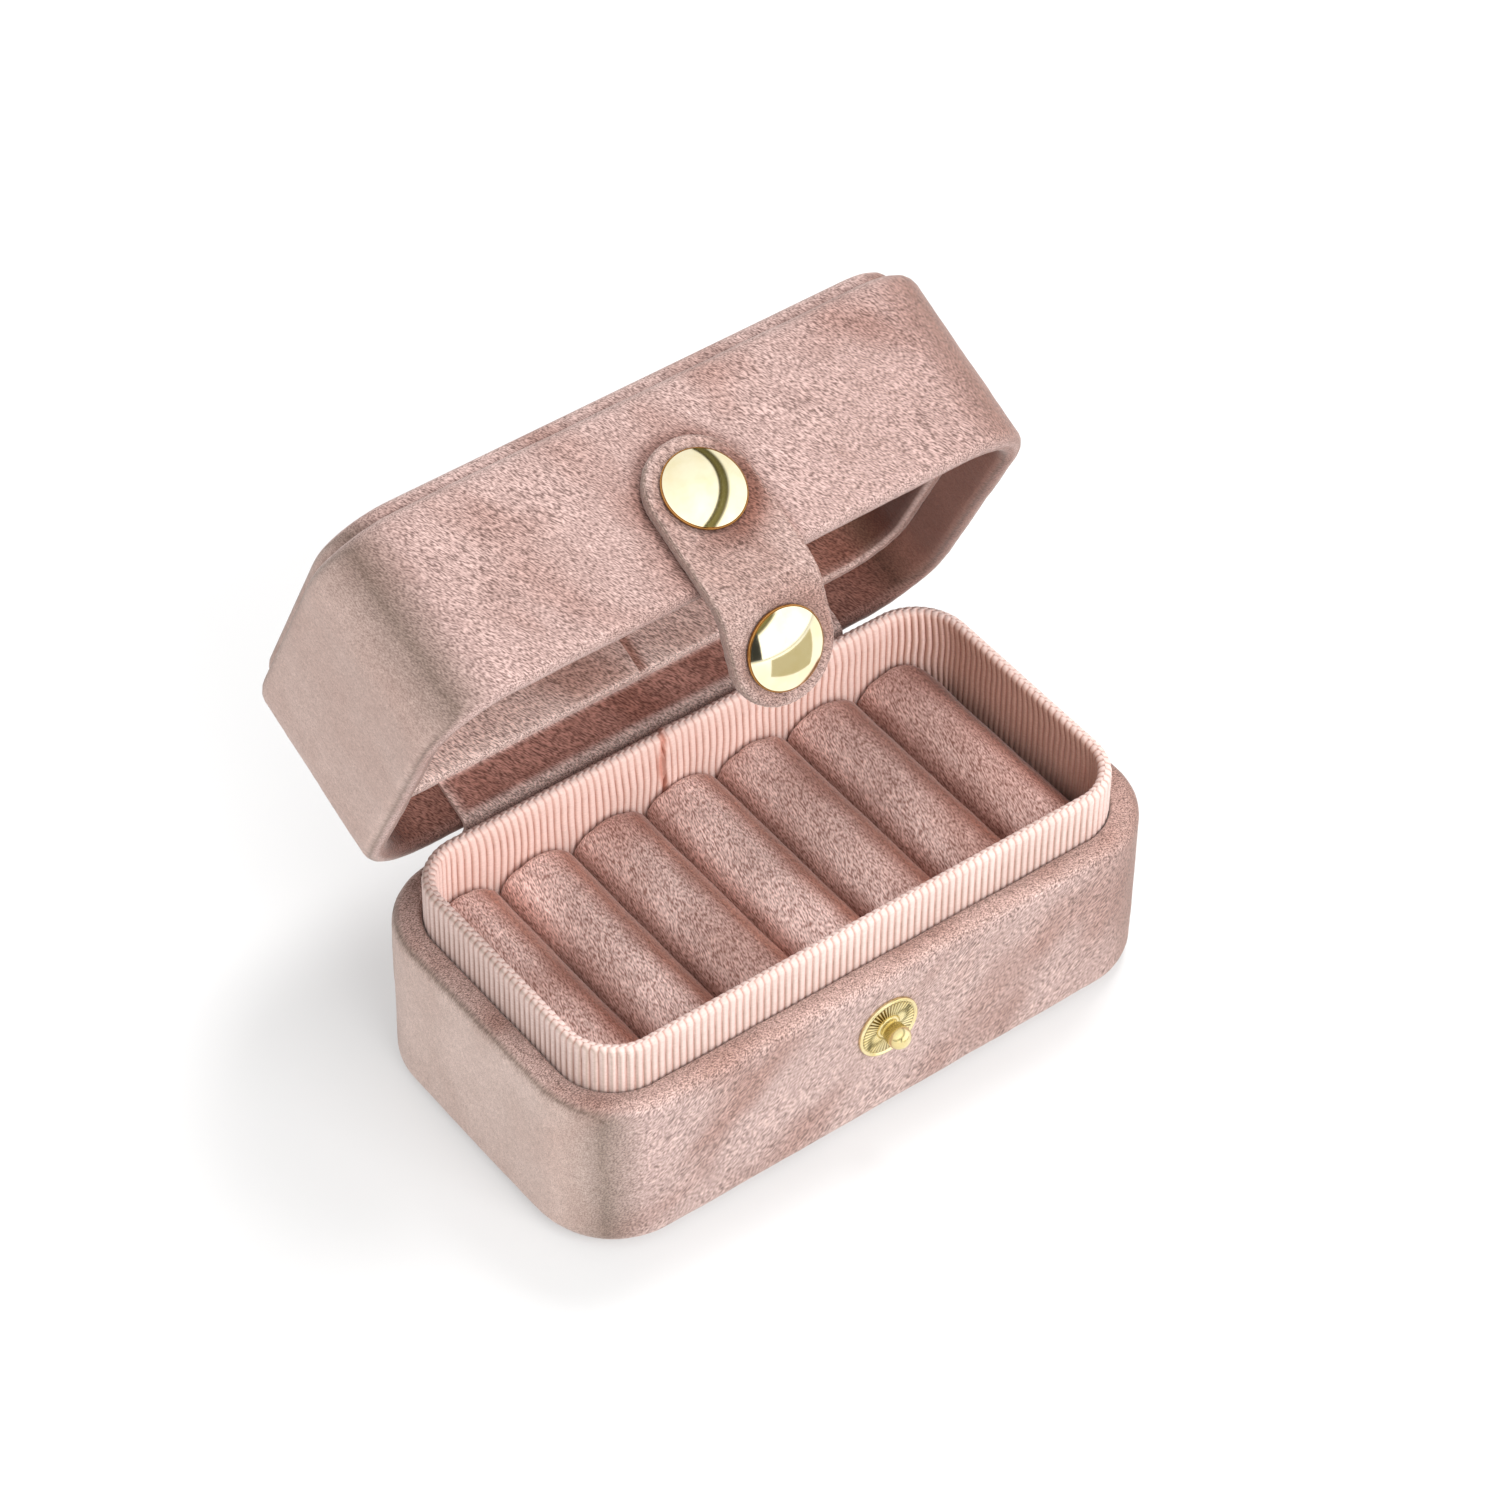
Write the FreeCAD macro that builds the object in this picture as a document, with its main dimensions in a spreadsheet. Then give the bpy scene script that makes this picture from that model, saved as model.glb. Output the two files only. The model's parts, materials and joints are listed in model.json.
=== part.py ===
"""Velvet ring box: a hinged, velvet-covered case with a ribbed collar, seven ring rolls and a snap strap.

The box is drawn open, as it stands on a table. The origin is the middle of the underside,
+X runs along the rolls' row, -Y is the front with the snap and +Z is up. All lengths are in millimetres.
"""
import FreeCAD, Part
import math
import os

import Sketcher

V = FreeCAD.Vector

doc = FreeCAD.newDocument("velvet_ring_box")
dims = doc.addObject("Spreadsheet::Sheet", "dims")
layout = doc.addObject("Spreadsheet::Sheet", "layout")

# Driving sizes, one cell each
SIZES = {
    # the case as a whole
    "box_length": 100.0,
    "box_depth": 55.0,
    "corner_radius": 13.0,
    "base_height": 27.5,
    "lid_side_height": 29.8,
    "seam_gap": 0.3,
    "hinge_rise": 0.8,
    "open_angle": 65.0,
    "overrun": 1.0,
    # cloth and walls
    "velvet": 0.8,
    "base_wall": 2.6,
    "base_floor": 1.6,
    "lid_wall": 2.0,
    "lid_plate": 2.0,
    "rim_round": 1.8,
    "foot_round": 1.5,
    "lid_edge_round": 2.2,
    "base_turn_in": 5.0,
    "lid_turn_in": 9.5,
    "top_fold_width": 8.0,
    # covered boards
    "bottom_panel_inset": 3.0,
    "bottom_panel_thick": 1.2,
    "bottom_panel_round": 0.6,
    "top_panel_inset": 2.7,
    "top_panel_thick": 2.3,
    "top_panel_round": 1.6,
    "board_clear": 0.3,
    # collar
    "collar_gap": 0.1,
    "collar_rise": 7.4,
    "card_thick": 1.2,
    "ribbon_thick": 0.4,
    "ribbon_round": 0.95,
    "card_round": 0.3,
    "ribbon_outer_tuck": 3.0,
    "ribbon_inner_drop": 10.5,
    # ring rolls on their foam bed
    "foam_bed_height": 8.4,
    "bed_clear": 0.2,
    "roll_count": 7,
    "roll_clear": 0.3,
    "roll_gap": 0.2,
    "roll_top": 26.2,
    "roll_crown": 4.9,
    "roll_velvet": 0.6,
    "roll_end_round": 4.0,
    # lining of the lid
    "liner_thick": 2.0,
    "liner_edge_round": 0.8,
    "liner_lift": 0.6,
    "ceiling_pad_thick": 2.2,
    "ceiling_pad_round": 1.4,
    "ceiling_pad_clear": 0.1,
    # strap
    "closure_offset": -0.8,
    "strap_width": 16.5,
    "strap_thick": 1.8,
    "strap_edge_round": 0.5,
    "strap_axis_drop": 0.7,
    "strap_knuckle_gap": 0.1,
    "link_length": 2.3,
    "tongue_reach": 8.2,
    "tongue_droop": 44.0,
    "rivet_height": 12.35,
    # rivet and snap
    "cap_diameter": 12.0,
    "cap_height": 1.9,
    "cap_rim_height": 0.5,
    "cap_bead": 0.25,
    "rivet_post_diameter": 3.0,
    "rivet_washer_diameter": 6.4,
    "rivet_washer_thick": 0.7,
    "hole_clear": 0.1,
    "snap_tube_outer": 5.2,
    "snap_tube_inner": 4.4,
    "snap_roof": 0.6,
    "socket_diameter": 10.0,
    "socket_thick": 1.2,
    "socket_rim": 1.0,
    "socket_dish": 0.4,
    "stud_height": 18.1,
    "stud_flange_diameter": 10.4,
    "stud_flange_thick": 0.6,
    "stud_rim_width": 0.7,
    "stud_dish": 0.3,
    "stud_neck_diameter": 2.8,
    "stud_head_diameter": 3.6,
    "stud_reach": 4.3,
    "stud_rib_count": 40,
    "stud_rib_width": 0.2,
    "stud_rib_height": 0.15,
    "stud_rib_inner_radius": 2.0,
    "stud_back_diameter": 7.6,
    "stud_back_thick": 0.9,
    # hinge strip
    "hinge_strip_thick": 0.4,
    "hinge_strip_clear": 0.05,
    "hinge_strip_margin": 4.5,
    "hinge_strip_fold": 0.5,
}

# Places that follow from the driving sizes
PLACES = {
    "frame_bottom": "dims.bottom_panel_thick + dims.velvet",
    "floor_top": "layout.frame_bottom + dims.base_floor",
    "base_lining": "2 * dims.velvet + dims.base_wall",
    "collar_outer": "layout.base_lining + dims.collar_gap",
    "card_outer": "layout.collar_outer + dims.ribbon_thick",
    "card_inner": "layout.card_outer + dims.card_thick",
    "collar_inner": "layout.card_inner + dims.ribbon_thick",
    "collar_top": "dims.base_height + dims.collar_rise",
    "bed_top": "layout.floor_top + dims.foam_bed_height",
    "well_inset": "layout.collar_inner + dims.roll_clear",
    "roll_pitch": "(dims.box_length - 2 * layout.well_inset) / dims.roll_count",
    "roll_width": "layout.roll_pitch - dims.roll_gap",
    "roll_length": "dims.box_depth - 2 * layout.well_inset",
    "hinge_height": "dims.base_height + dims.hinge_rise",
    "lid_rim": "dims.seam_gap - dims.hinge_rise",
    "lid_top": "layout.lid_rim + dims.lid_side_height",
    "lid_lining": "2 * dims.velvet + dims.lid_wall",
    "lid_ceiling": "layout.lid_top - dims.velvet - dims.lid_plate",
    "turn_in_top": "layout.lid_rim + dims.lid_turn_in",
    "liner_inner": "layout.lid_lining + dims.liner_thick",
    "liner_bottom": "layout.collar_top - layout.hinge_height + dims.liner_lift",
    "strap_axis": "layout.lid_rim - dims.strap_axis_drop",
    "knuckle_radius": "dims.strap_thick / 2",
    "knuckle_reach": "layout.knuckle_radius + dims.strap_knuckle_gap",
    "tongue_angle": "dims.open_angle - dims.tongue_droop",
}


def fill_sheet(sheet, cells):
    """Writes a label, a value and an alias for each cell of a sheet."""
    for row, (alias, value) in enumerate(cells.items(), start=1):
        sheet.set(f"A{row}", alias)
        sheet.set(f"B{row}", str(value))
        sheet.setAlias(f"B{row}", alias)
    doc.recompute()


fill_sheet(dims, SIZES)
fill_sheet(layout, {alias: "=" + text.replace("layout.", "") for alias, text in PLACES.items()})


def size(text):
    """Gives the number that an expression on the sheets stands for."""
    return float(dims.evalExpression(text))


def minus(*texts):
    """Joins expressions into the first less all the others."""
    return " - ".join(f"({text})" for text in texts)


# Sketch, feature and placement helpers

def new_body(label):
    """Adds an empty body that carries one named piece."""
    body = doc.addObject("PartDesign::Body", label)
    body.Label = label
    return body


def new_sketch(body, role, offset):
    """Adds a sketch on one of the body's own planes, moved along the plane's normal."""
    sketch = body.newObject("Sketcher::SketchObject", f"{body.Label}_sketch")
    plane = next(item for item in body.Origin.OriginFeatures if item.Role == role)
    sketch.AttachmentSupport = [(plane, "")]
    sketch.MapMode = "FlatFace"
    sketch.setExpression("AttachmentOffset.Base.z", offset)
    return sketch


def bind(sketch, kind, places, text):
    """Adds a dimension to a sketch and ties it to an expression."""
    index = sketch.addConstraint(Sketcher.Constraint(kind, *places, size(text)))
    sketch.setExpression(f"Constraints[{index}]", text)


def arc_between(start, end, radius):
    """Gives the arc from start to end, turning left about its centre, or right for a radius below zero."""
    chord = end - start
    half = chord.Length / 2
    side = V(-chord.y, chord.x, 0).normalize()
    rise = math.sqrt(max(radius * radius - half * half, 0))
    centre = (start + end) / 2 + side * math.copysign(rise, radius)
    first, last = (start, end) if radius > 0 else (end, start)
    angles = [math.atan2(point.y - centre.y, point.x - centre.x) for point in (first, last)]
    return Part.ArcOfCircle(Part.Circle(centre, V(0, 0, 1), abs(radius)), *angles)


def add_outline(sketch, corners, arcs=None):
    """Draws a closed outline and ties every corner, and the radius of every arc, to the sheets.

    corners holds pairs of expressions. arcs gives a radius for each side, by its number, that is
    round instead of straight: a text for a left turn, or a pair of the text and -1 for a right turn.
    """
    arcs = arcs or {}
    points = [V(size(x), size(y), 0) for x, y in corners]
    starts = []
    ends = []
    for side, start in enumerate(points):
        end = points[(side + 1) % len(points)]
        turn = 1
        if side in arcs:
            radius, turn = arcs[side] if isinstance(arcs[side], tuple) else (arcs[side], 1)
            edge = sketch.addGeometry(arc_between(start, end, turn * size(radius)), False)
            bind(sketch, "Radius", (edge,), radius)
        else:
            edge = sketch.addGeometry(Part.LineSegment(start, end), False)
        starts.append((edge, 1 if turn > 0 else 2))
        ends.append((edge, 2 if turn > 0 else 1))
    for side, (x, y) in enumerate(corners):
        sketch.addConstraint(Sketcher.Constraint("Coincident", *ends[side - 1], *starts[side]))
        for kind, axis, text in (("DistanceX", -2, x), ("DistanceY", -1, y)):
            if text == "0":
                sketch.addConstraint(Sketcher.Constraint("PointOnObject", *starts[side], axis))
            else:
                bind(sketch, kind, (-1, 1, *starts[side]), text)


def plan_outline(sketch, inset):
    """Draws the rounded rectangle of the case, drawn in by an inset."""
    half_length = f"(dims.box_length / 2 - ({inset}))"
    half_depth = f"(dims.box_depth / 2 - ({inset}))"
    radius = f"(dims.corner_radius - ({inset}))"
    flat_x = f"({half_length} - {radius})"
    flat_y = f"({half_depth} - {radius})"
    corners = [
        (f"-{flat_x}", f"-{half_depth}"), (flat_x, f"-{half_depth}"),
        (half_length, f"-{flat_y}"), (half_length, flat_y),
        (flat_x, half_depth), (f"-{flat_x}", half_depth),
        (f"-{half_length}", flat_y), (f"-{half_length}", f"-{flat_y}"),
    ]
    add_outline(sketch, corners, {side: radius for side in (1, 3, 5, 7)})


def extrude(body, kind, sketch, length, backwards=False):
    """Adds a pad or a pocket of a sketch."""
    feature = body.newObject(f"PartDesign::{kind}", f"{body.Label}_{kind.lower()}")
    feature.Profile = sketch
    feature.setExpression("Length", length)
    feature.Reversed = backwards
    doc.recompute()
    return feature


def plan_pad(body, low, high, outer, inner=None):
    """Pads the case's plan outline between two heights, as a plate or, with an inner inset, as a ring."""
    sketch = new_sketch(body, "XY_Plane", low)
    plan_outline(sketch, outer)
    if inner:
        plan_outline(sketch, inner)
    return extrude(body, "Pad", sketch, minus(high, low))


def plan_pocket(body, low, high, outer, inner=None):
    """Cuts the case's plan outline out between two heights, as a plate or as a ring."""
    sketch = new_sketch(body, "XY_Plane", low)
    plan_outline(sketch, outer)
    if inner:
        plan_outline(sketch, inner)
    before = body.Shape.Volume
    pocket = extrude(body, "Pocket", sketch, minus(high, low), backwards=True)
    if body.Shape.Volume >= before:
        raise RuntimeError(f"a pocket of {body.Label} cuts nothing")
    return pocket


def round_edges(body, feature, radius, chosen):
    """Rounds the edges of a feature that a test picks."""
    names = [f"Edge{number}" for number, edge in enumerate(feature.Shape.Edges, start=1) if chosen(edge)]
    fillet = body.newObject("PartDesign::Fillet", f"{body.Label}_fillet")
    fillet.Base = (feature, names)
    fillet.setExpression("Radius", radius)
    doc.recompute()
    return fillet


def level_with(height, inset=None):
    """Gives a test for edges that lie at a height and, with an inset, on that outline of the case."""
    level = size(height)
    near = size("dims.collar_gap") / 2

    def chosen(edge):
        box = edge.BoundBox
        if max(abs(box.ZMin - level), abs(box.ZMax - level)) > near:
            return False
        return inset is None or on_plan(edge, size(inset), near)

    return chosen


def on_plan(edge, inset, near):
    """Tells whether the middle of an edge lies on the case's plan outline, drawn in by an inset."""
    middle = edge.valueAt((edge.FirstParameter + edge.LastParameter) / 2)
    radius = size("dims.corner_radius")
    beyond_x = abs(middle.x) - (size("dims.box_length") / 2 - radius)
    beyond_y = abs(middle.y) - (size("dims.box_depth") / 2 - radius)
    reach = math.hypot(max(beyond_x, 0), max(beyond_y, 0))
    return abs(reach - (radius - inset)) < near


def drill_front(body, face_inset, depth, height, diameter, offset="dims.closure_offset"):
    """Cuts a round hole into the front wall of a piece."""
    sketch = new_sketch(body, "XZ_Plane", minus("dims.box_depth / 2", face_inset))
    hole_circle(sketch, offset, height, diameter)
    before = body.Shape.Volume
    extrude(body, "Pocket", sketch, depth)
    if body.Shape.Volume >= before:
        raise RuntimeError(f"a hole of {body.Label} cuts nothing")


def hole_circle(sketch, x, y, diameter):
    """Draws one circle whose centre and diameter are tied to the sheets."""
    circle = Part.Circle(V(size(x), size(y), 0), V(0, 0, 1), size(diameter) / 2)
    edge = sketch.addGeometry(circle, False)
    bind(sketch, "Diameter", (edge,), diameter)
    for kind, axis, text in (("DistanceX", -2, x), ("DistanceY", -1, y)):
        if text == "0":
            sketch.addConstraint(Sketcher.Constraint("PointOnObject", edge, 3, axis))
        else:
            bind(sketch, kind, (-1, 1, edge, 3), text)


def revolve(label, corners, arcs=None):
    """Makes a turned piece from a half section: pairs of a radius and a height along the axis."""
    body = new_body(label)
    sketch = new_sketch(body, "XZ_Plane", "0")
    add_outline(sketch, corners, arcs)
    turned = body.newObject("PartDesign::Revolution", f"{label}_revolution")
    turned.Profile = sketch
    turned.ReferenceAxis = (sketch, ["V_Axis"])
    turned.Angle = 360
    doc.recompute()
    return body


def place(piece, point, angle):
    """Ties a piece's place, and its turn about X, to the sheets."""
    piece.Placement = FreeCAD.Placement(V(0, 0, 0), FreeCAD.Rotation(V(1, 0, 0), 1))
    for axis, text in zip("xyz", point):
        piece.setExpression(f"Placement.Base.{axis}", text)
    piece.setExpression("Placement.Rotation.Angle", angle)


def swung(x, y, z, angle="dims.open_angle", pivot=("dims.box_depth / 2", "layout.hinge_height")):
    """Turns a point, given from a pivot, by an opening angle and gives its place in the box's frame."""
    return (
        x,
        f"{pivot[0]} + ({y}) * cos({angle}) + ({z}) * sin({angle})",
        f"{pivot[1]} - ({y}) * sin({angle}) + ({z}) * cos({angle})",
    )


def on_lid(piece):
    """Places a piece that is drawn in the closed lid's plan, with z counted from the hinge axis."""
    place(piece, swung("0", "-dims.box_depth / 2", "0"), "-dims.open_angle")


# Base: frame, velvet wrap and bottom panel

def make_base_frame():
    body = new_body("base_frame")
    top = minus("dims.base_height", "dims.velvet")
    plan_pad(body, "layout.frame_bottom", top, "dims.velvet")
    plan_pocket(body, "layout.floor_top", top, "dims.velvet + dims.base_wall")
    drill_front(body, "dims.velvet", "dims.base_wall", "dims.stud_height",
                "dims.stud_neck_diameter + 2 * dims.hole_clear")
    return body


def make_base_wrap():
    """One cloth that covers the wall, turns in over the rim and under the frame."""
    body = new_body("base_velvet_wrap")
    low = "dims.bottom_panel_thick"
    block = plan_pad(body, low, "dims.base_height", "0")
    block = round_edges(body, block, "dims.rim_round", level_with("dims.base_height"))
    round_edges(body, block, "dims.foot_round", level_with(low))
    hem = minus("dims.base_height", "dims.base_turn_in")
    plan_pocket(body, low, "dims.base_height", "layout.base_lining")
    plan_pocket(body, "layout.frame_bottom", hem, "dims.velvet")
    plan_pocket(body, hem, minus("dims.base_height", "dims.velvet"),
                "dims.velvet", "dims.velvet + dims.base_wall")
    drill_front(body, "0", "dims.velvet", "dims.stud_height",
                "dims.stud_neck_diameter + 2 * dims.hole_clear")
    return body


def make_bottom_panel():
    """The covered board under the box, with a raised middle that fits inside the turned-under cloth."""
    body = new_body("bottom_panel")
    board = plan_pad(body, "0", "dims.bottom_panel_thick", "dims.bottom_panel_inset")
    round_edges(body, board, "dims.bottom_panel_round", level_with("0"))
    plan_pad(body, "dims.bottom_panel_thick", "layout.frame_bottom",
             "layout.base_lining + dims.board_clear")
    return body


# Collar: card and its ribbon cover

def make_collar_card():
    body = new_body("collar_card")
    top = minus("layout.collar_top", "dims.ribbon_thick")
    ring = plan_pad(body, "layout.floor_top", top, "layout.card_outer", "layout.card_inner")
    round_edges(body, ring, "dims.card_round", level_with(top))
    return body


def make_collar_ribbon():
    """Ribbon folded over the card: a short leg outside, a long leg down to the rolls inside."""
    body = new_body("collar_ribbon")
    low = minus("dims.base_height", "dims.ribbon_outer_tuck")
    block = plan_pad(body, low, "layout.collar_top", "layout.collar_outer", "layout.collar_inner")
    round_edges(body, block, "dims.ribbon_round", level_with("layout.collar_top"))
    plan_pocket(body, low, minus("layout.collar_top", "dims.ribbon_thick"),
                "layout.card_outer", "layout.card_inner")
    plan_pad(body, minus("dims.base_height", "dims.ribbon_inner_drop"), low,
             "layout.card_inner", "layout.collar_inner")
    return body


# Ring rolls

def make_foam_bed():
    body = new_body("foam_bed")
    plan_pad(body, "layout.floor_top", "layout.bed_top", "layout.card_inner + dims.bed_clear")
    return body


def roll_section(body, middle, shrink):
    """Pads the cross-section of a roll along its length: a flat foot, upright sides and a round top."""
    reach = f"(layout.roll_length / 2 - ({shrink}))"
    sketch = new_sketch(body, "XZ_Plane", f"-{reach}")
    half = f"(layout.roll_width / 2 - ({shrink}))"
    crown = "dims.roll_crown"
    shoulder = f"(dims.roll_top - ({shrink}) - {crown})"
    radius = f"(({half} * {half} + {crown} * {crown}) / (2 * {crown}))"
    left = f"{middle} - {half}"
    right = f"{middle} + {half}"
    corners = [(left, "layout.bed_top"), (right, "layout.bed_top"), (right, shoulder), (left, shoulder)]
    add_outline(sketch, corners, {2: radius})
    extrude(body, "Pad", sketch, f"2 * {reach}")


def round_roll_ends(body, middle, shrink):
    """Rounds the crown of a roll down at both ends."""
    sketch = new_sketch(body, "YZ_Plane", f"{middle} - layout.roll_pitch / 2")
    reach = f"(layout.roll_length / 2 - ({shrink}))"
    radius = f"(dims.roll_end_round - ({shrink}))"
    top = f"(dims.roll_top - ({shrink}))"
    over = f"({top} + dims.overrun)"
    out = f"({reach} + dims.overrun)"
    low = f"({top} - {radius})"
    flat = f"({reach} - {radius})"
    add_outline(sketch, [(reach, low), (out, low), (out, over), (flat, over), (flat, top)], {4: (radius, -1)})
    add_outline(sketch, [(f"-{flat}", top), (f"-{flat}", over), (f"-{out}", over), (f"-{out}", low),
                         (f"-{reach}", low)], {4: (radius, -1)})
    before = body.Shape.Volume
    extrude(body, "Pocket", sketch, "layout.roll_pitch", backwards=True)
    if body.Shape.Volume >= before:
        raise RuntimeError(f"the ends of {body.Label} are not rounded")


def make_roll_form(label, middle, shrink, is_end):
    """Makes one roll, drawn in all round by a shrink; an end roll also follows the collar's corners."""
    body = new_body(label)
    roll_section(body, middle, shrink)
    round_roll_ends(body, middle, shrink)
    if is_end:
        trim_to_well(body, shrink)
    return body


def trim_to_well(body, shrink):
    """Cuts the outer corners of an end roll to the rounded corners of the collar."""
    sketch = new_sketch(body, "XY_Plane", "layout.bed_top")
    plan_outline(sketch, "0")
    plan_outline(sketch, f"layout.well_inset + ({shrink})")
    before = body.Shape.Volume
    extrude(body, "Pocket", sketch, minus("dims.roll_top", "layout.bed_top"), backwards=True)
    if body.Shape.Volume >= before:
        raise RuntimeError(f"the trim of {body.Label} cuts nothing")


def make_rolls():
    """Makes each roll as a foam core under a velvet cover."""
    pieces = []
    count = round(size("dims.roll_count"))
    for number in range(1, count + 1):
        middle = f"layout.roll_pitch * ({number} - (dims.roll_count + 1) / 2)"
        is_end = number in (1, count)
        core = make_roll_form(f"ring_roll_core_{number}", middle, "dims.roll_velvet", is_end)
        form = make_roll_form(f"ring_roll_form_{number}", middle, "0", is_end)
        cover = doc.addObject("Part::Cut", f"ring_roll_cover_{number}")
        cover.Label = f"ring_roll_cover_{number}"
        cover.Base = form
        cover.Tool = core
        pieces += [core, cover]
    return pieces


# Lid: frame, velvet wrap, top panel and lining

def make_lid_frame():
    body = new_body("lid_frame")
    low = "layout.lid_rim + dims.velvet"
    plan_pad(body, low, minus("layout.lid_top", "dims.velvet"), "dims.velvet")
    plan_pocket(body, low, "layout.lid_ceiling", "dims.velvet + dims.lid_wall")
    drill_front(body, "dims.velvet", "dims.lid_wall", "dims.rivet_height",
                "dims.rivet_post_diameter + 2 * dims.hole_clear")
    on_lid(body)
    return body


def make_lid_wrap():
    """One cloth that folds onto the top, covers the sides and turns in under the rim."""
    body = new_body("lid_velvet_wrap")
    block = plan_pad(body, "layout.lid_rim", "layout.lid_top", "0")
    block = round_edges(body, block, "dims.lid_edge_round", level_with("layout.lid_top"))
    round_edges(body, block, "dims.foot_round", level_with("layout.lid_rim"))
    wall_low = "layout.lid_rim + dims.velvet"
    fold_low = minus("layout.lid_top", "dims.velvet")
    plan_pocket(body, "layout.lid_rim", "layout.turn_in_top", "layout.lid_lining")
    plan_pocket(body, wall_low, "layout.turn_in_top", "dims.velvet", "dims.velvet + dims.lid_wall")
    plan_pocket(body, "layout.turn_in_top", fold_low, "dims.velvet")
    plan_pocket(body, fold_low, "layout.lid_top", "dims.top_fold_width")
    drill_front(body, "0", "dims.velvet", "dims.rivet_height",
                "dims.rivet_post_diameter + 2 * dims.hole_clear")
    on_lid(body)
    return body


def make_top_panel():
    """The padded board on the lid, whose raised underside fits inside the folded cloth."""
    body = new_body("lid_top_panel")
    top = "layout.lid_top + dims.top_panel_thick"
    board = plan_pad(body, "layout.lid_top", top, "dims.top_panel_inset")
    round_edges(body, board, "dims.top_panel_round", level_with(top))
    plan_pad(body, minus("layout.lid_top", "dims.velvet"), "layout.lid_top",
             "dims.top_fold_width + dims.board_clear")
    on_lid(body)
    return body


def make_liner_band():
    body = new_body("lid_liner_band")
    band = plan_pad(body, "layout.liner_bottom", "layout.lid_ceiling", "layout.lid_lining", "layout.liner_inner")
    round_edges(body, band, "dims.liner_edge_round", level_with("layout.liner_bottom", "layout.liner_inner"))
    on_lid(body)
    return body


def make_ceiling_pad():
    body = new_body("lid_ceiling_pad")
    low = minus("layout.lid_ceiling", "dims.ceiling_pad_thick")
    pad = plan_pad(body, low, "layout.lid_ceiling", "layout.liner_inner + dims.ceiling_pad_clear")
    round_edges(body, pad, "dims.ceiling_pad_round", level_with(low))
    on_lid(body)
    return body


# Hinge strip

def make_hinge_strip():
    """The velvet strip in the angle between both rims: along the ledge, up the lid's rim and its wall."""
    thick = size("dims.hinge_strip_thick")
    clear = size("dims.hinge_strip_clear")
    angle = math.radians(size("dims.open_angle"))
    hinge = V(0, size("dims.box_depth") / 2, size("layout.hinge_height"))
    rim = size("layout.lid_rim") - clear - thick / 2
    wall = -size("layout.lid_lining") - clear - thick / 2

    def lid_point(y, z):
        return hinge + V(0, y * math.cos(angle) + z * math.sin(angle), z * math.cos(angle) - y * math.sin(angle))

    ledge = size("dims.base_height") + clear + thick / 2
    start = V(0, size("dims.box_depth") / 2 - size("layout.collar_outer") + thick, ledge)
    fold_y = (hinge.z + rim * math.cos(angle) - ledge) / math.sin(angle)
    fold = lid_point(fold_y, rim)
    corner = lid_point(wall, rim)
    end = lid_point(wall, size("layout.liner_bottom") - thick)
    path = rounded_path([start, fold, corner, end], [size("dims.hinge_strip_fold"), clear + thick / 2])
    band = path.makeOffset2D(thick / 2, openResult=False)
    width = size("dims.box_length - 2 * dims.corner_radius - 2 * dims.hinge_strip_margin")
    strip = doc.addObject("Part::Feature", "hinge_strip")
    strip.Label = "hinge_strip"
    strip.Shape = Part.Face(band).extrude(V(width, 0, 0))
    strip.Placement = FreeCAD.Placement(V(-width / 2, 0, 0), FreeCAD.Rotation())
    return strip


def rounded_path(points, radii):
    """Gives a wire through points whose inner corners are rounded by tangent arcs."""
    edges = []
    last = points[0]
    for before, corner, after, radius in zip(points, points[1:], points[2:], radii):
        back = (before - corner).normalize()
        ahead = (after - corner).normalize()
        half = back.getAngle(ahead) / 2
        trim = radius / math.tan(half)
        middle = corner + (back + ahead).normalize() * (radius / math.sin(half) - radius)
        edges.append(Part.LineSegment(last, corner + back * trim).toShape())
        edges.append(Part.Arc(corner + back * trim, middle, corner + ahead * trim).toShape())
        last = corner + ahead * trim
    edges.append(Part.LineSegment(last, points[-1]).toShape())
    return Part.Wire(edges)


# Strap

def strap_outline(sketch, flat_end, round_end, x="0"):
    """Draws a strap end: a straight cut at one height and a half round about another."""
    half = "dims.strap_width / 2"
    way = "+" if size(round_end) > size(flat_end) else "-"
    left = minus(x, half)
    right = f"{x} + {half}"
    tip = f"{round_end} {way} {half}"
    corners = [(left, flat_end), (right, flat_end), (right, round_end), (x, tip), (left, round_end)]
    turn = 1 if way == "+" else -1
    add_outline(sketch, corners, {2: (half, turn), 3: (half, turn)})


def make_strap_anchor():
    """The upper end of the strap, flat on the lid's front under the rivet."""
    body = new_body("strap_anchor")
    sketch = new_sketch(body, "XZ_Plane", "dims.box_depth / 2")
    strap_outline(sketch, "layout.strap_axis + layout.knuckle_reach", "dims.rivet_height", "dims.closure_offset")
    hole_circle(sketch, "dims.closure_offset", "dims.rivet_height",
                "dims.rivet_post_diameter + 2 * dims.hole_clear")
    extrude(body, "Pad", sketch, "dims.strap_thick")
    on_lid(body)
    return body


def strap_pivot(down):
    """Gives the place on the lid's front of a strap axis, a length below the first one."""
    return swung("dims.closure_offset", "-dims.box_depth - layout.knuckle_radius", f"layout.strap_axis - ({down})")


def make_strap_link():
    """The short bending stretch of the strap below the lid's rim."""
    body = new_body("strap_link")
    sketch = new_sketch(body, "YZ_Plane", "-dims.strap_width / 2")
    radius = "layout.knuckle_radius"
    foot = "-dims.link_length"
    corners = [(radius, foot), (radius, "0"), ("0", radius), (f"-{radius}", "0"),
               (f"-{radius}", foot), ("0", f"{foot} - {radius}")]
    add_outline(sketch, corners, {1: radius, 2: radius, 4: radius, 5: radius})
    extrude(body, "Pad", sketch, "dims.strap_width")
    place(body, strap_pivot("0"), "-dims.open_angle")
    return body


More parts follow.
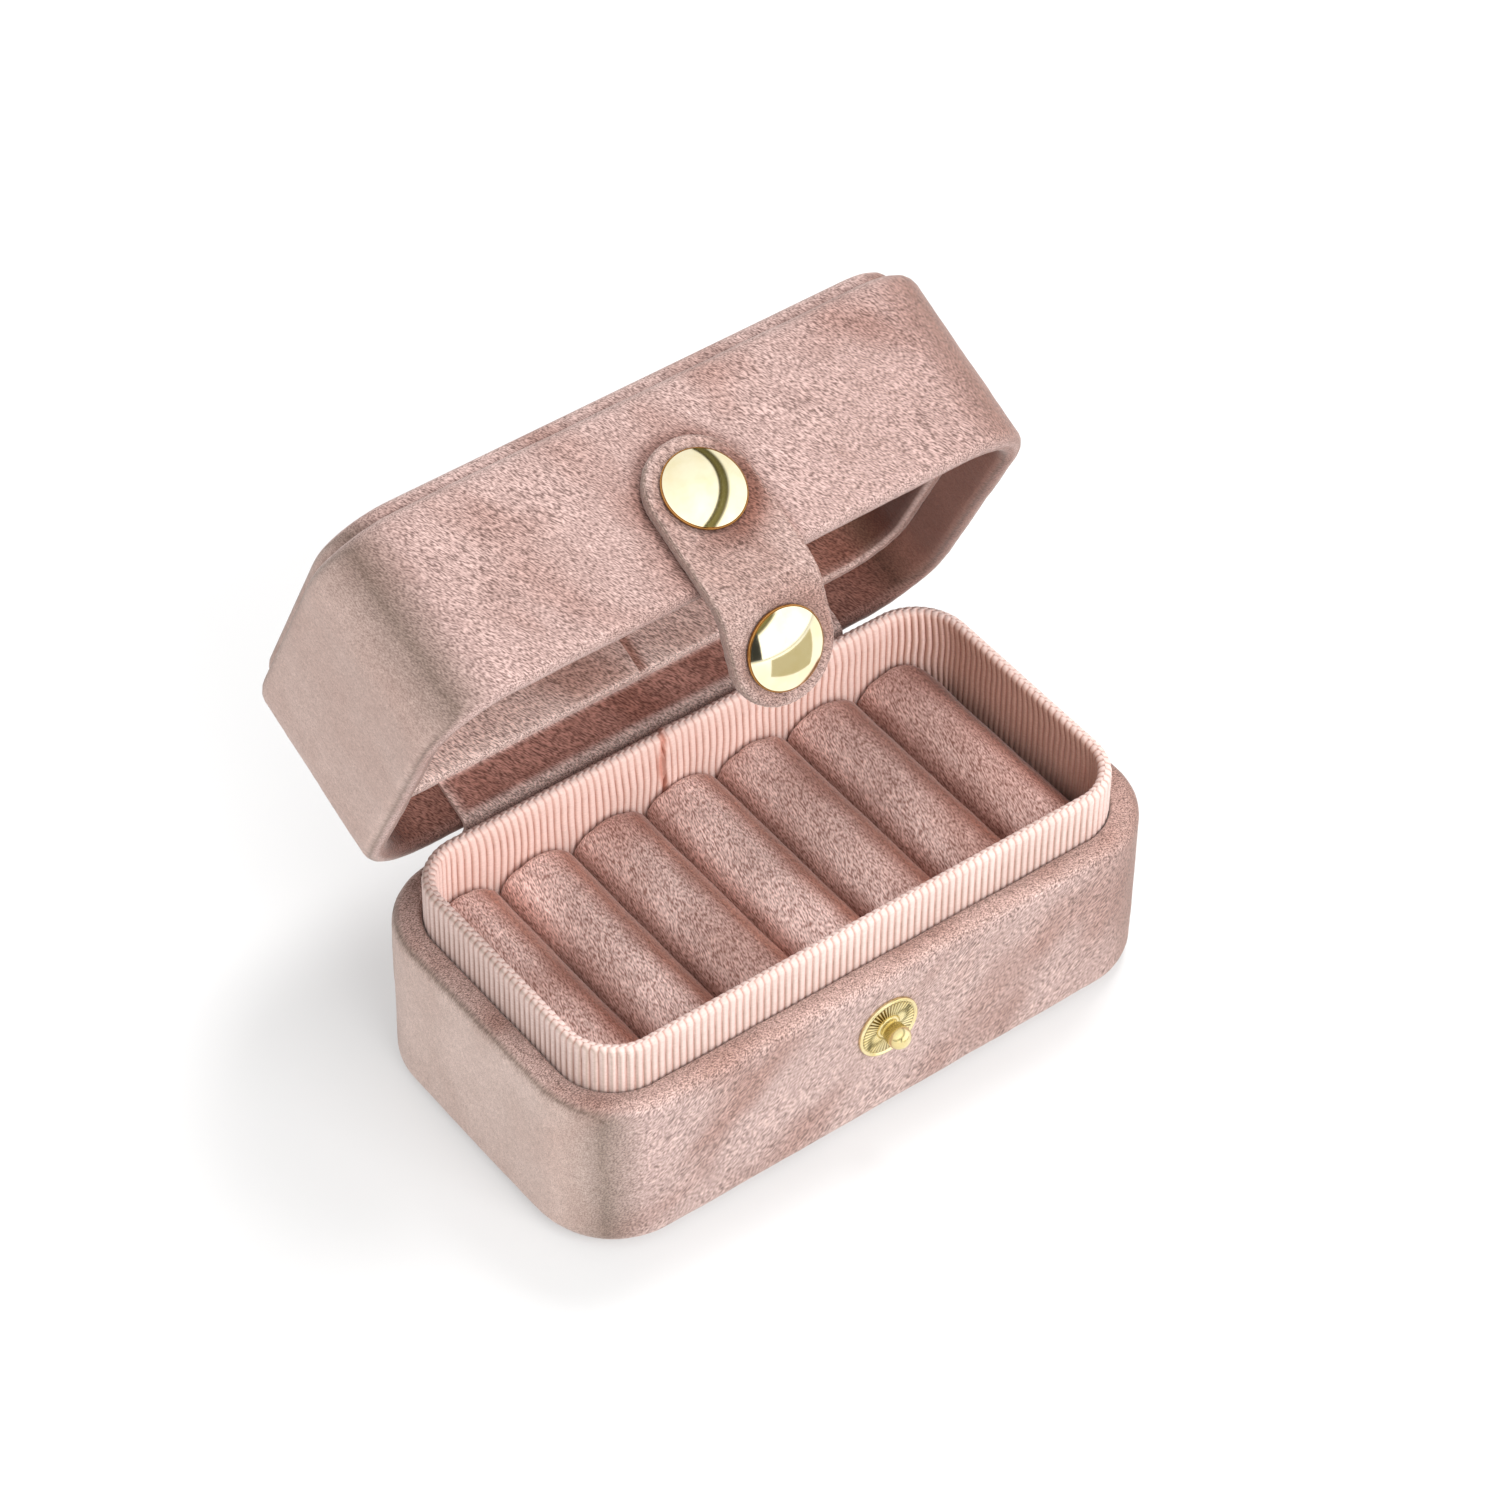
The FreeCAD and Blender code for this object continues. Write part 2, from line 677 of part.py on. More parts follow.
def make_strap_tongue():
    """The free end of the strap, with a hole for the snap's tube."""
    body = new_body("strap_tongue")
    sketch = new_sketch(body, "XZ_Plane", "-dims.strap_thick / 2")
    strap_outline(sketch, "-layout.knuckle_reach", "-dims.tongue_reach")
    hole_circle(sketch, "0", "-dims.tongue_reach", "dims.snap_tube_outer + 2 * dims.hole_clear")
    extrude(body, "Pad", sketch, "dims.strap_thick")
    place(body, strap_pivot("dims.link_length"), "-layout.tongue_angle")
    return body


# Rivet and snap

def cap_corners(inner):
    """Gives the outer half section of a domed cap, from its foot at an inner radius up to its crown."""
    return [
        (inner, "0"),
        ("dims.cap_diameter / 2 - dims.cap_bead", "0"),
        ("dims.cap_diameter / 2", "dims.cap_bead"),
        ("dims.cap_diameter / 2", "dims.cap_rim_height"),
        ("0", "dims.cap_height"),
    ]


def dome_radius():
    """Gives the radius of the dome over the cap's rim."""
    half = "dims.cap_diameter / 2"
    rise = "(dims.cap_height - dims.cap_rim_height)"
    return f"(({half}) * ({half}) + {rise} * {rise}) / (2 * {rise})"


def make_rivet():
    """The domed rivet with its post, and the washer that it is clenched over inside the lid wall."""
    post = "dims.rivet_post_diameter / 2"
    length = "dims.strap_thick + dims.velvet + dims.lid_wall + dims.rivet_washer_thick"
    corners = [("0", f"-({length})"), (post, f"-({length})"), *cap_corners(post)]
    rivet = revolve("rivet_cap", corners, {3: "dims.cap_bead", 5: dome_radius()})
    place(rivet, swung("dims.closure_offset", "-dims.box_depth - dims.strap_thick", "dims.rivet_height"),
          "90 - dims.open_angle")
    bore = "dims.rivet_post_diameter / 2 + dims.hole_clear"
    edge = "dims.rivet_washer_diameter / 2"
    bevel = f"({edge} - dims.rivet_washer_thick / 2)"
    corners = [(bore, "-dims.rivet_washer_thick"), (bevel, "-dims.rivet_washer_thick"),
               (edge, "-dims.rivet_washer_thick / 2"), (edge, "0"), (bore, "0")]
    washer = revolve("rivet_back", corners)
    place(washer, swung("dims.closure_offset", "-dims.box_depth + dims.velvet + dims.lid_wall",
                        "dims.rivet_height"), "90 - dims.open_angle")
    return [rivet, washer]


def tongue_point(out):
    """Gives the place on the snap's axis, a length out from the middle of the tongue's thickness."""
    pivot = strap_pivot("dims.link_length")
    return swung(pivot[0], f"-({out})", "-dims.tongue_reach", "layout.tongue_angle", pivot[1:])


def make_snap():
    """The domed snap cap with its tube, and the socket that the tube holds on the tongue's inner face."""
    tube = "dims.snap_tube_outer / 2"
    bore = "dims.snap_tube_inner / 2"
    length = "dims.strap_thick + dims.socket_thick"
    ceiling = minus("dims.cap_height", "dims.snap_roof")
    corners = [("0", ceiling), (bore, ceiling), (bore, f"-({length})"), (tube, f"-({length})"), *cap_corners(tube)]
    cap = revolve("snap_cap", corners, {5: "dims.cap_bead", 7: dome_radius()})
    place(cap, tongue_point("layout.knuckle_radius"), "90 - layout.tongue_angle")
    hole = "dims.snap_tube_outer / 2 + dims.hole_clear"
    edge = "dims.socket_diameter / 2"
    lip = f"({edge} - dims.socket_rim)"
    low = "-dims.socket_thick"
    dish = "-dims.socket_thick + dims.socket_dish"
    corners = [(hole, low), (f"{hole} + dims.socket_dish", low), (f"{hole} + dims.socket_dish", dish),
               (f"{lip} - dims.socket_dish", dish), (lip, low), (f"{edge} - dims.socket_dish", low),
               (edge, dish), (edge, "0"), (hole, "0")]
    socket = revolve("snap_socket", corners)
    place(socket, tongue_point("-layout.knuckle_radius"), "90 - layout.tongue_angle")
    return [cap, socket]


def make_stud():
    """The ball stud on a dished, ribbed flange, and the eyelet behind the front wall that holds it."""
    neck = "dims.stud_neck_diameter / 2"
    head = "dims.stud_head_diameter / 2"
    edge = "dims.stud_flange_diameter / 2"
    rim = f"({edge} - dims.stud_rim_width)"
    dish = "(dims.stud_flange_thick - dims.stud_dish)"
    length = "-(dims.velvet + dims.base_wall + dims.stud_back_thick)"
    middle = f"(dims.stud_reach - {head})"
    under = f"({middle} - sqrt({head} * {head} - {neck} * {neck}))"
    corners = [("0", length), (neck, length), (neck, "0"), (edge, "0"),
               (edge, dish), (f"{edge} - dims.stud_dish", "dims.stud_flange_thick"),
               (rim, "dims.stud_flange_thick"), (f"{rim} - dims.stud_dish", dish),
               (neck, dish), (neck, under), (head, middle), ("0", "dims.stud_reach")]
    body = revolve("snap_stud", corners, {9: head, 10: head})
    add_stud_ribs(body, f"({rim} - dims.stud_dish)", dish)
    place(body, ("dims.closure_offset", "-dims.box_depth / 2", "dims.stud_height"), "90")
    bore = f"{neck} + dims.hole_clear"
    edge = "dims.stud_back_diameter / 2"
    bevel = f"({edge} - dims.stud_back_thick / 2)"
    corners = [(bore, "-dims.stud_back_thick"), (bevel, "-dims.stud_back_thick"),
               (edge, "-dims.stud_back_thick / 2"), (edge, "0"), (bore, "0")]
    eyelet = revolve("snap_stud_back", corners)
    place(eyelet, ("dims.closure_offset", "-dims.box_depth / 2 + dims.velvet + dims.base_wall",
                   "dims.stud_height"), "90")
    return [body, eyelet]


def add_stud_ribs(body, reach, floor):
    """Sets fine radial ribs into the dish of the stud's flange."""
    sketch = new_sketch(body, "XY_Plane", floor)
    half = "dims.stud_rib_width / 2"
    inner = "dims.stud_rib_inner_radius"
    add_outline(sketch, [(inner, f"-{half}"), (reach, f"-{half}"), (reach, half), (inner, half)])
    rib = extrude(body, "Pad", sketch, "dims.stud_rib_height")
    ribs = body.newObject("PartDesign::PolarPattern", "stud_ribs")
    ribs.Originals = [rib]
    ribs.Axis = (next(item for item in body.Origin.OriginFeatures if item.Role == "Z_Axis"), [""])
    ribs.Angle = 360
    ribs.setExpression("Occurrences", "dims.stud_rib_count")
    body.Tip = ribs
    doc.recompute()


def export(pieces):
    """Checks the whole document, then writes each piece to its own file."""
    doc.recompute()
    for item in doc.Objects:
        if "Invalid" in item.State or "Error" in item.State:
            raise RuntimeError(f"{item.Label} failed: {item.State}")
    for piece in pieces:
        if piece.Shape.isNull() or not piece.Shape.isValid() or not piece.Shape.Solids:
            raise RuntimeError(f"{piece.Label} has no valid shape")
    os.makedirs("parts", exist_ok=True)
    for piece in pieces:
        piece.Shape.exportStep(f"parts/{piece.Label}.step")


def main():
    pieces = [
        make_base_frame(), make_base_wrap(), make_bottom_panel(),
        make_collar_card(), make_collar_ribbon(),
        make_foam_bed(), *make_rolls(),
        *make_stud(),
        make_lid_frame(), make_lid_wrap(), make_top_panel(), make_liner_band(), make_ceiling_pad(),
        make_hinge_strip(),
        make_strap_anchor(), make_strap_link(), make_strap_tongue(),
        *make_rivet(), *make_snap(),
    ]
    export(pieces)


main()
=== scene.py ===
"""Velvet ring box: the looks of the part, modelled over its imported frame.

Sizes in the classes are in millimetres and mm() turns them into metres. The origin is the middle of
the underside, +X runs along the row of rolls, -Y is the front with the snap and +Z is up.
"""
import json
import logging
import math
from dataclasses import dataclass
from enum import Enum
from functools import partial
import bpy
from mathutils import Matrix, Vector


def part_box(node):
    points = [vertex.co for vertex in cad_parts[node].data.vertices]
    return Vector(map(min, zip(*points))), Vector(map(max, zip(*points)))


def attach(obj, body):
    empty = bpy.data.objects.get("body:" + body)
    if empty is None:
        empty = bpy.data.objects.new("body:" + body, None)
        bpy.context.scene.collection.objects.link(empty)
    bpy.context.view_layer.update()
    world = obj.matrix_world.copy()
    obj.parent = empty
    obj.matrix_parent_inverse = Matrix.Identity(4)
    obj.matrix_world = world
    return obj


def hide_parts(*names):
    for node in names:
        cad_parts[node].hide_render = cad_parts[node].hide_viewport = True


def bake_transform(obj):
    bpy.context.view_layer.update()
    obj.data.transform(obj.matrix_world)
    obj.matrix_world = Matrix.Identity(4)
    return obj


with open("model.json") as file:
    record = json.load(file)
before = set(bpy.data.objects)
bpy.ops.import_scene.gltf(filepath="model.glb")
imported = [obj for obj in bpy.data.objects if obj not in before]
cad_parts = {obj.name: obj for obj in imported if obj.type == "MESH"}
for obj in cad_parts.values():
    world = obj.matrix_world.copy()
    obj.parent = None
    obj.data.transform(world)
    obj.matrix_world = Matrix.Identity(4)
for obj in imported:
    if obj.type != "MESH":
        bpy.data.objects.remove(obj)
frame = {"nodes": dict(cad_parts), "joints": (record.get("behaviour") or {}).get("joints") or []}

from types import TracebackType
from typing import Callable, Sequence

import bmesh
import bpy
from mathutils import Matrix, Vector, noise

log = logging.getLogger("ring_box")
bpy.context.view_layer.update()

Point = tuple[float, float]
Colour = tuple[float, float, float]


class Body(Enum):
    """The moving bodies of the box."""

    BASE = "base"
    LID = "lid"
    STRAP_BEND = "strap_bend"
    STRAP_END = "strap_end"


class Slot(Enum):
    """The record's material slots, passed along with the pieces here."""

    VELVET = "velvet"
    RIBBON = "ribbon"
    FOAM = "foam"
    FRAME = "moulded_frame"
    GILT = "gilt_brass"
    BRASS = "plain_brass"


class Element(Enum):
    """What an operator in edit mode picks."""

    VERT = "verts"
    EDGE = "edges"
    FACE = "faces"


MILLIMETRE = 0.001
PER_METRE = 1000
TINY = 1e-6


def mm(value: float | Vector) -> float | Vector:
    """Gives millimetres, or a point in millimetres, in metres."""
    return value * MILLIMETRE


def in_mm(value: float | Vector) -> float | Vector:
    """Gives metres, or a point in metres, in millimetres."""
    return PER_METRE * value


def deselect_all() -> None:
    """Deselects every object, the frame's among them."""
    bpy.ops.object.select_all(action="DESELECT")


def select_only(piece: bpy.types.Object) -> None:
    """Makes a piece the only selected one and the active one."""
    deselect_all()
    piece.select_set(True)
    bpy.context.view_layer.objects.active = piece


class Edit:
    """Edit mode on one mesh piece, for the length of a with block."""

    def __init__(self, piece: bpy.types.Object) -> None:
        """Remembers the piece to edit."""
        self.piece = piece

    def __enter__(self) -> "Edit":
        """Makes the piece the only selected one and opens it."""
        select_only(self.piece)
        bpy.ops.object.mode_set(mode="EDIT")
        bpy.ops.mesh.select_mode(type="VERT")
        return self

    def __exit__(
        self,
        kind: type[BaseException] | None,
        error: BaseException | None,
        trace: TracebackType | None,
    ) -> None:
        """Goes back to object mode."""
        bpy.ops.object.mode_set(mode="OBJECT")

    def pick(self, element: Element, test: Callable[..., bool]) -> None:
        """Selects the elements that pass a test, and nothing else.

        Args:
            element: what is picked.
            test: gets a vertex, edge or face and says whether it is taken.
        """
        bpy.ops.mesh.select_mode(type=element.name)
        bpy.ops.mesh.select_all(action="DESELECT")
        mesh = bmesh.from_edit_mesh(self.piece.data)
        for item in getattr(mesh, element.value):
            if test(item):
                item.select_set(True)
        mesh.select_flush_mode()
        bmesh.update_edit_mesh(self.piece.data)

    def pick_all(self) -> None:
        """Selects the whole mesh."""
        bpy.ops.mesh.select_all(action="SELECT")

    def extrude(self, move: Vector) -> None:
        """Extrudes what is selected."""
        bpy.ops.mesh.extrude_region_move(TRANSFORM_OT_translate={"value": move})

    def fill(self) -> None:
        """Closes an outline with one face."""
        self.pick_all()
        bpy.ops.mesh.edge_face_add()

    def weld(self, gap: float) -> None:
        """Merges points that lie nearer than a gap in millimetres."""
        self.pick_all()
        bpy.ops.mesh.remove_doubles(threshold=mm(gap))

    def face_outwards(self) -> None:
        """Turns every face to the outside."""
        self.pick_all()
        bpy.ops.mesh.normals_make_consistent(inside=False)


def apply_modifier(piece: bpy.types.Object, kind: str, **settings: object) -> None:
    """Adds a modifier, sets it and applies it.

    Args:
        piece: the mesh to change.
        kind: the modifier's type.
        settings: the modifier's own values.
    """
    select_only(piece)
    modifier = piece.modifiers.new(kind.lower(), kind)
    for name, value in settings.items():
        setattr(modifier, name, value)
    bpy.ops.object.modifier_apply(modifier=modifier.name)


def shade_smooth(piece: bpy.types.Object, angle: float = 50.0) -> None:
    """Smooths the shading, apart from edges sharper than the angle in degrees."""
    select_only(piece)
    bpy.ops.object.shade_smooth_by_angle(angle=math.radians(angle))


def ruffle(piece: bpy.types.Object, height: float, size: float) -> None:
    """Makes a surface slightly uneven, as cloth over padding is.

    Args:
        piece: the mesh to change.
        height: how far points move at most, in millimetres.
        size: how far apart the hills are, in millimetres.
    """
    clouds = bpy.data.textures.new(f"{piece.name}_ruffle", "CLOUDS")
    clouds.noise_scale = mm(size)
    apply_modifier(
        piece, "DISPLACE", texture=clouds, texture_coords="LOCAL", strength=mm(2 * height), mid_level=0.5
    )
    bpy.data.textures.remove(clouds)


ROUND_FACES = 4


def rounded(corners: Sequence[tuple[float, float, float]], step: float) -> list[Point]:
    """Turns a sharp line into one with rounded corners and even steps.

    Args:
        corners: across, up and the corner's radius, in millimetres.
        step: the longest stretch between two points.

    Returns:
        The points of the line, ends included.
    """
    line: list[Point] = []
    for index, (across, up, radius) in enumerate(corners):
        here = Vector((across, up))
        if radius == 0 or index in (0, len(corners) - 1):
            line.append((across, up))
            continue
        back = (Vector(corners[index - 1][:2]) - here).normalized()
        on = (Vector(corners[index + 1][:2]) - here).normalized()
        half = back.angle(on) / 2
        middle = here + (back + on).normalized() * (radius / math.sin(half))
        first = here + back * (radius / math.tan(half)) - middle
        turn = (math.pi - 2 * half) * (1 if back.cross(on) < 0 else -1)
        count = max(ROUND_FACES, math.ceil(abs(turn) * radius / step))
        for share in range(count + 1):
            spoke = first.copy()
            spoke.rotate(Matrix.Rotation(turn * share / count, 2))
            line.append(tuple(middle + spoke))
    spaced = [line[0]]
    for start, end in zip(line, line[1:]):
        gap = math.dist(start, end)
        count = max(1, round(gap / step))
        spaced += [
            (start[0] + (end[0] - start[0]) * k / count, start[1] + (end[1] - start[1]) * k / count)
            for k in range(1, count + 1)
        ]
    return spaced


def point_values(piece: bpy.types.Object, name: str) -> bpy.types.bpy_prop_collection:
    """Gives the values of a new attribute at a mesh's points."""
    return piece.data.attributes.new(name, "FLOAT", "POINT").data


def mark_edge_highlight(piece: bpy.types.Object, soft: float = 0.3, sharp: float = 0.9) -> None:
    """Writes where the surface turns over an edge, for a painted highlight where the pile opens there.

    Args:
        piece: the finished mesh.
        soft: the curve, per millimetre, where the mark begins.
        sharp: the curve where it is full.
    """
    mesh = bmesh.new()
    mesh.from_mesh(piece.data)
    marks = [0.0] * len(mesh.verts)
    for edge in mesh.edges:
        if len(edge.link_faces) == 2:
            first, second = (face.calc_center_median() for face in edge.link_faces)
            curve = edge.calc_face_angle_signed(0.0) / max(TINY, in_mm((first - second).length))
            mark = max(0.0, min(1.0, (curve - soft) / (sharp - soft)))
            for vert in edge.verts:
                marks[vert.index] = max(marks[vert.index], mark)
    spread = [
        (marks[vert.index] + sum(marks[edge.other_vert(vert).index] for edge in vert.link_edges))
        / (1 + len(vert.link_edges))
        for vert in mesh.verts
    ]
    mesh.free()
    point_values(piece, "edge").foreach_set("value", spread)


def mark_shade_and_wear(piece: bpy.types.Object, shade_and_wear: Callable[[Vector], float]) -> None:
    """Writes where the colour is made darker and redder: painted shade and shadow, pressed pile, and a
    darkening towards the right.

    Args:
        piece: the mesh, before it is turned or bent.
        shade_and_wear: gives the painted shade and wear, from 0 to 1, at a point in millimetres.
    """
    marks = point_values(piece, "rub")
    for vert in piece.data.vertices:
        marks[vert.index].value = shade_and_wear(in_mm(vert.co))


def darker_right(x: float, end: float, most: float, curve: int) -> float:
    """Says how much darker and redder a surface is made towards the right.

    Args:
        x: a point's place, in millimetres.
        end: where the darkening is greatest.
        most: the darkening there, from 0 to 1.
        curve: how late it sets in.

    Returns:
        The darkening, from 0 to 1.
    """
    return most * max(0.0, x / end) ** curve


def finish_wrap(piece: bpy.types.Object, shade_and_wear: Callable[[Vector], float]) -> None:
    """Marks the painted edge highlight and the painted shade and wear of stretched cloth, and makes it
    slightly uneven.

    Args:
        piece: the swept wrap.
        shade_and_wear: gives the painted shade and wear, from 0 to 1, at a point in millimetres.
    """
    mark_edge_highlight(piece)
    mark_shade_and_wear(piece, shade_and_wear)
    ruffle(piece, height=0.12, size=9.0)
    ruffle(piece, height=0.05, size=1.6)


def draw_line(name: str, points: Sequence[Vector], closed: bool = False) -> bpy.types.Object:
    """Draws a line of edges, each vertex extruded from the last.

    Args:
        name: the new object's name.
        points: the line's points, in metres.
        closed: whether the last point is joined to the first.

    Returns:
        The object with the line.
    """
    deselect_all()
    bpy.ops.mesh.primitive_plane_add(size=mm(1))
    piece = bpy.context.object
    piece.name = piece.data.name = name
    with Edit(piece) as edit:
        edit.pick_all()
        bpy.ops.mesh.merge(type="CENTER")
        bpy.ops.transform.translate(value=points[0])
        for start, end in zip(points, points[1:]):
            edit.extrude(end - start)
        if closed:
            edit.pick(Element.VERT, lambda vert: len(vert.link_edges) == 1)
            bpy.ops.mesh.edge_face_add()
    return piece


@dataclass(frozen=True)
class Plan:
    """The rounded rectangle of the box, seen from above, in millimetres."""

    length: float = 100.0
    depth: float = 55.0
    corner: float = 13.0
    fewest_faces: int = 6

    @property
    def run(self) -> float:
        """The straight stretch along the front."""
        return self.length - 2 * self.corner

    @property
    def side(self) -> float:
        """The straight stretch along an end."""
        return self.depth - 2 * self.corner

    def inset(self, x: float, y: float) -> float:
        """Gives how far inside the outline a point lies, in millimetres."""
        off_x, off_y = abs(x) - self.run / 2, abs(y) - self.side / 2
        if off_x > 0 and off_y > 0:
            return self.corner - math.hypot(off_x, off_y)
        return self.corner - max(off_x, off_y)

    def place(self, x: float, y: float) -> tuple[int, float]:
        """Finds where round the plan a point lies, from the left end of the front.

        Args:
            x: the point, in millimetres.
            y: the point, in millimetres.

        Returns:
            The stretch, counting sides and corners from 0 to 7, and the share of it that lies behind.
        """
        half_run, half_side, straight = self.run / 2, self.side / 2, 1e-4
        off_x = x - max(-half_run, min(half_run, x))
        off_y = y - max(-half_side, min(half_side, y))
        if abs(off_x) < straight:
            return (0, (x + half_run) / self.run) if y < 0 else (4, (half_run - x) / self.run)
        if abs(off_y) < straight:
            return (2, (y + half_side) / self.side) if x > 0 else (6, (half_side - y) / self.side)
        turn = (math.atan2(off_y, off_x) + math.pi / 2) % (2 * math.pi)
        quarter = int(turn / (math.pi / 2))
        return 2 * quarter + 1, turn / (math.pi / 2) - quarter

    def runs_on(self, edge: bmesh.types.BMEdge, axis: int, length: float) -> bool:
        """Says whether an edge runs along a straight side.

        Args:
            edge: the edge.
            axis: 0 for the front and back, 1 for the ends.
            length: the edge's length, in millimetres.

        Returns:
            True where it has that length and lies on such a side.
        """
        past_end, off_line, off_length = mm(0.01), mm(0.001), mm(0.002)
        start, end = (vert.co for vert in edge.verts)
        limit = mm((self.run, self.side)[axis]) / 2 + past_end
        level = all(abs(start[k] - end[k]) < off_line for k in range(3) if k != axis)
        inside = abs(start[axis]) < limit and abs(end[axis]) < limit
        return level and inside and abs(edge.calc_length() - mm(length)) < off_length

    def faces(self, step: float) -> tuple[int, int, int]:
        """Gives the faces along a run, a side and a corner for a longest step."""
        return tuple(
            max(self.fewest_faces, round(length / step))
            for length in (self.run, self.side, self.corner * math.pi / 2)
        )

    def sweep(
        self,
        name: str,
        profile: Sequence[Point],
        faces: tuple[int, int, int],
        closed: bool = True,
        finer: int = 1,
    ) -> bpy.types.Object:
        """Carries a profile round the plan by extruding it along the sides and spinning it round the corners.

        Args:
            name: the new object's name.
            profile: inset from the outline and height of each point, in millimetres.
            faces: how many along a run, a side and a corner.
            closed: whether the profile is a closed ring.
            finer: how many parts each of those faces is cut into.

        Returns:
            The swept piece, a closed skin if the profile is closed.
        """
        half_run, half_side = mm(self.run / 2), mm(self.side / 2)
        front = mm(self.depth / 2)
        points = [Vector((-half_run, mm(inset) - front, mm(up))) for inset, up in profile]
        piece = draw_line(name, points, closed)
        stretches = (
            (Vector((2 * half_run, 0, 0)), (half_run, -half_side)),
            (Vector((0, 2 * half_side, 0)), (half_run, half_side)),
            (Vector((-2 * half_run, 0, 0)), (-half_run, half_side)),
            (Vector((0, -2 * half_side, 0)), (-half_run, -half_side)),
        )
        with Edit(piece) as edit:
            edit.pick_all()
            for move, centre in stretches:
                edit.extrude(move)
                bpy.ops.mesh.spin(
                    steps=faces[2] * finer, angle=-math.pi / 2, center=(*centre, 0), axis=(0, 0, 1)
                )
            edit.weld(gap=0.005)
            for axis, length, count in ((0, self.run, faces[0]), (1, self.side, faces[1])):
                for stretch, cuts in ((length, count), (length / count, finer)):
                    edit.pick(Element.EDGE, lambda edge: self.runs_on(edge, axis, stretch))
                    if cuts > 1:
                        bpy.ops.mesh.subdivide(number_cuts=cuts - 1)
            edit.face_outwards()
        return piece


PLAN = Plan()
OPEN_ANGLE = 65.0
HINGE = next(Vector(joint["pos_m"]) for joint in frame["joints"] if joint["name"] == "lid_hinge")


def swing_open(piece: bpy.types.Object) -> None:
    """Turns a piece that was modelled on the closed lid to where the open lid is."""
    with Edit(piece) as edit:
        edit.pick_all()
        bpy.ops.transform.rotate(
            value=math.radians(OPEN_ANGLE), orient_axis="X", center_override=HINGE
        )


def on_open_lid(across: float, up: float) -> Point:
    """Gives the place, back and up, of a point of the lid's section.

    Args:
        across: back from the hinge on the closed lid, in millimetres.
        up: up from the hinge on the closed lid.

    Returns:
        The point's Y and Z on the open lid, in millimetres.
    """
    turn = math.radians(OPEN_ANGLE)
    back = across * math.cos(turn) + up * math.sin(turn)
    rise = up * math.cos(turn) - across * math.sin(turn)
    return in_mm(HINGE.y) + back, in_mm(HINGE.z) + rise


def spin_profile(name: str, profile: Sequence[Point], steps: int) -> bpy.types.Object:
    """Turns a profile round the Z axis into a closed round piece.

    Args:
        name: the new object's name.
        profile: radius and height of each point, in millimetres, from the axis back to it.
        steps: faces round the piece.

    Returns:
        The round piece, at the origin.
    """
    piece = draw_line(name, [Vector((mm(radius), 0, mm(up))) for radius, up in profile])
    with Edit(piece) as edit:
        edit.pick_all()
        bpy.ops.mesh.spin(steps=steps, angle=2 * math.pi, center=(0, 0, 0), axis=(0, 0, 1))
        edit.weld(gap=0.002)
        edit.face_outwards()
    return piece


def slab(
    name: str, plan: Plan, inset: float, low: float, high: float, low_round: float, high_round: float
) -> bpy.types.Object:
    """Makes a flat board with the plan's outline.

    Args:
        name: the new object's name.
        plan: the outline.
        inset: how far inside the outline the board ends, in millimetres.
        low: its underside.
        high: its top.
        low_round: the round of its lower edge.
        high_round: the round of its upper edge.

    Returns:
        The board, with a grid of faces over its top and underside.
    """
    edge = rounded(
        (
            (plan.corner, high, 0),
            (inset, high, high_round),
            (inset, low, low_round),
            (plan.corner, low, 0),
        ),
        step=1.0,
    )
    face = 1.5
    return fill_flat(plan.sweep(name, edge, plan.faces(face), closed=False), face, (low, high))


def fill_flat(piece: bpy.types.Object, step: float, levels: Sequence[float]) -> bpy.types.Object:
    """Closes the open rounds of a swept piece with grids of faces.

    Args:
        piece: the swept piece, whose open rounds lie at the plan's corner inset.
        step: the longest face along the sweep, in millimetres.
        levels: the heights of the open rounds.

    Returns:
        The closed piece.
    """
    close = mm(0.01)
    with Edit(piece) as edit:
        for level in levels:
            edit.pick(
                Element.EDGE,
                lambda side: side.is_boundary and abs(side.verts[0].co.z - mm(level)) < close,
            )
            bpy.ops.mesh.fill_grid(span=PLAN.faces(step)[0])
        edit.face_outwards()
    return piece


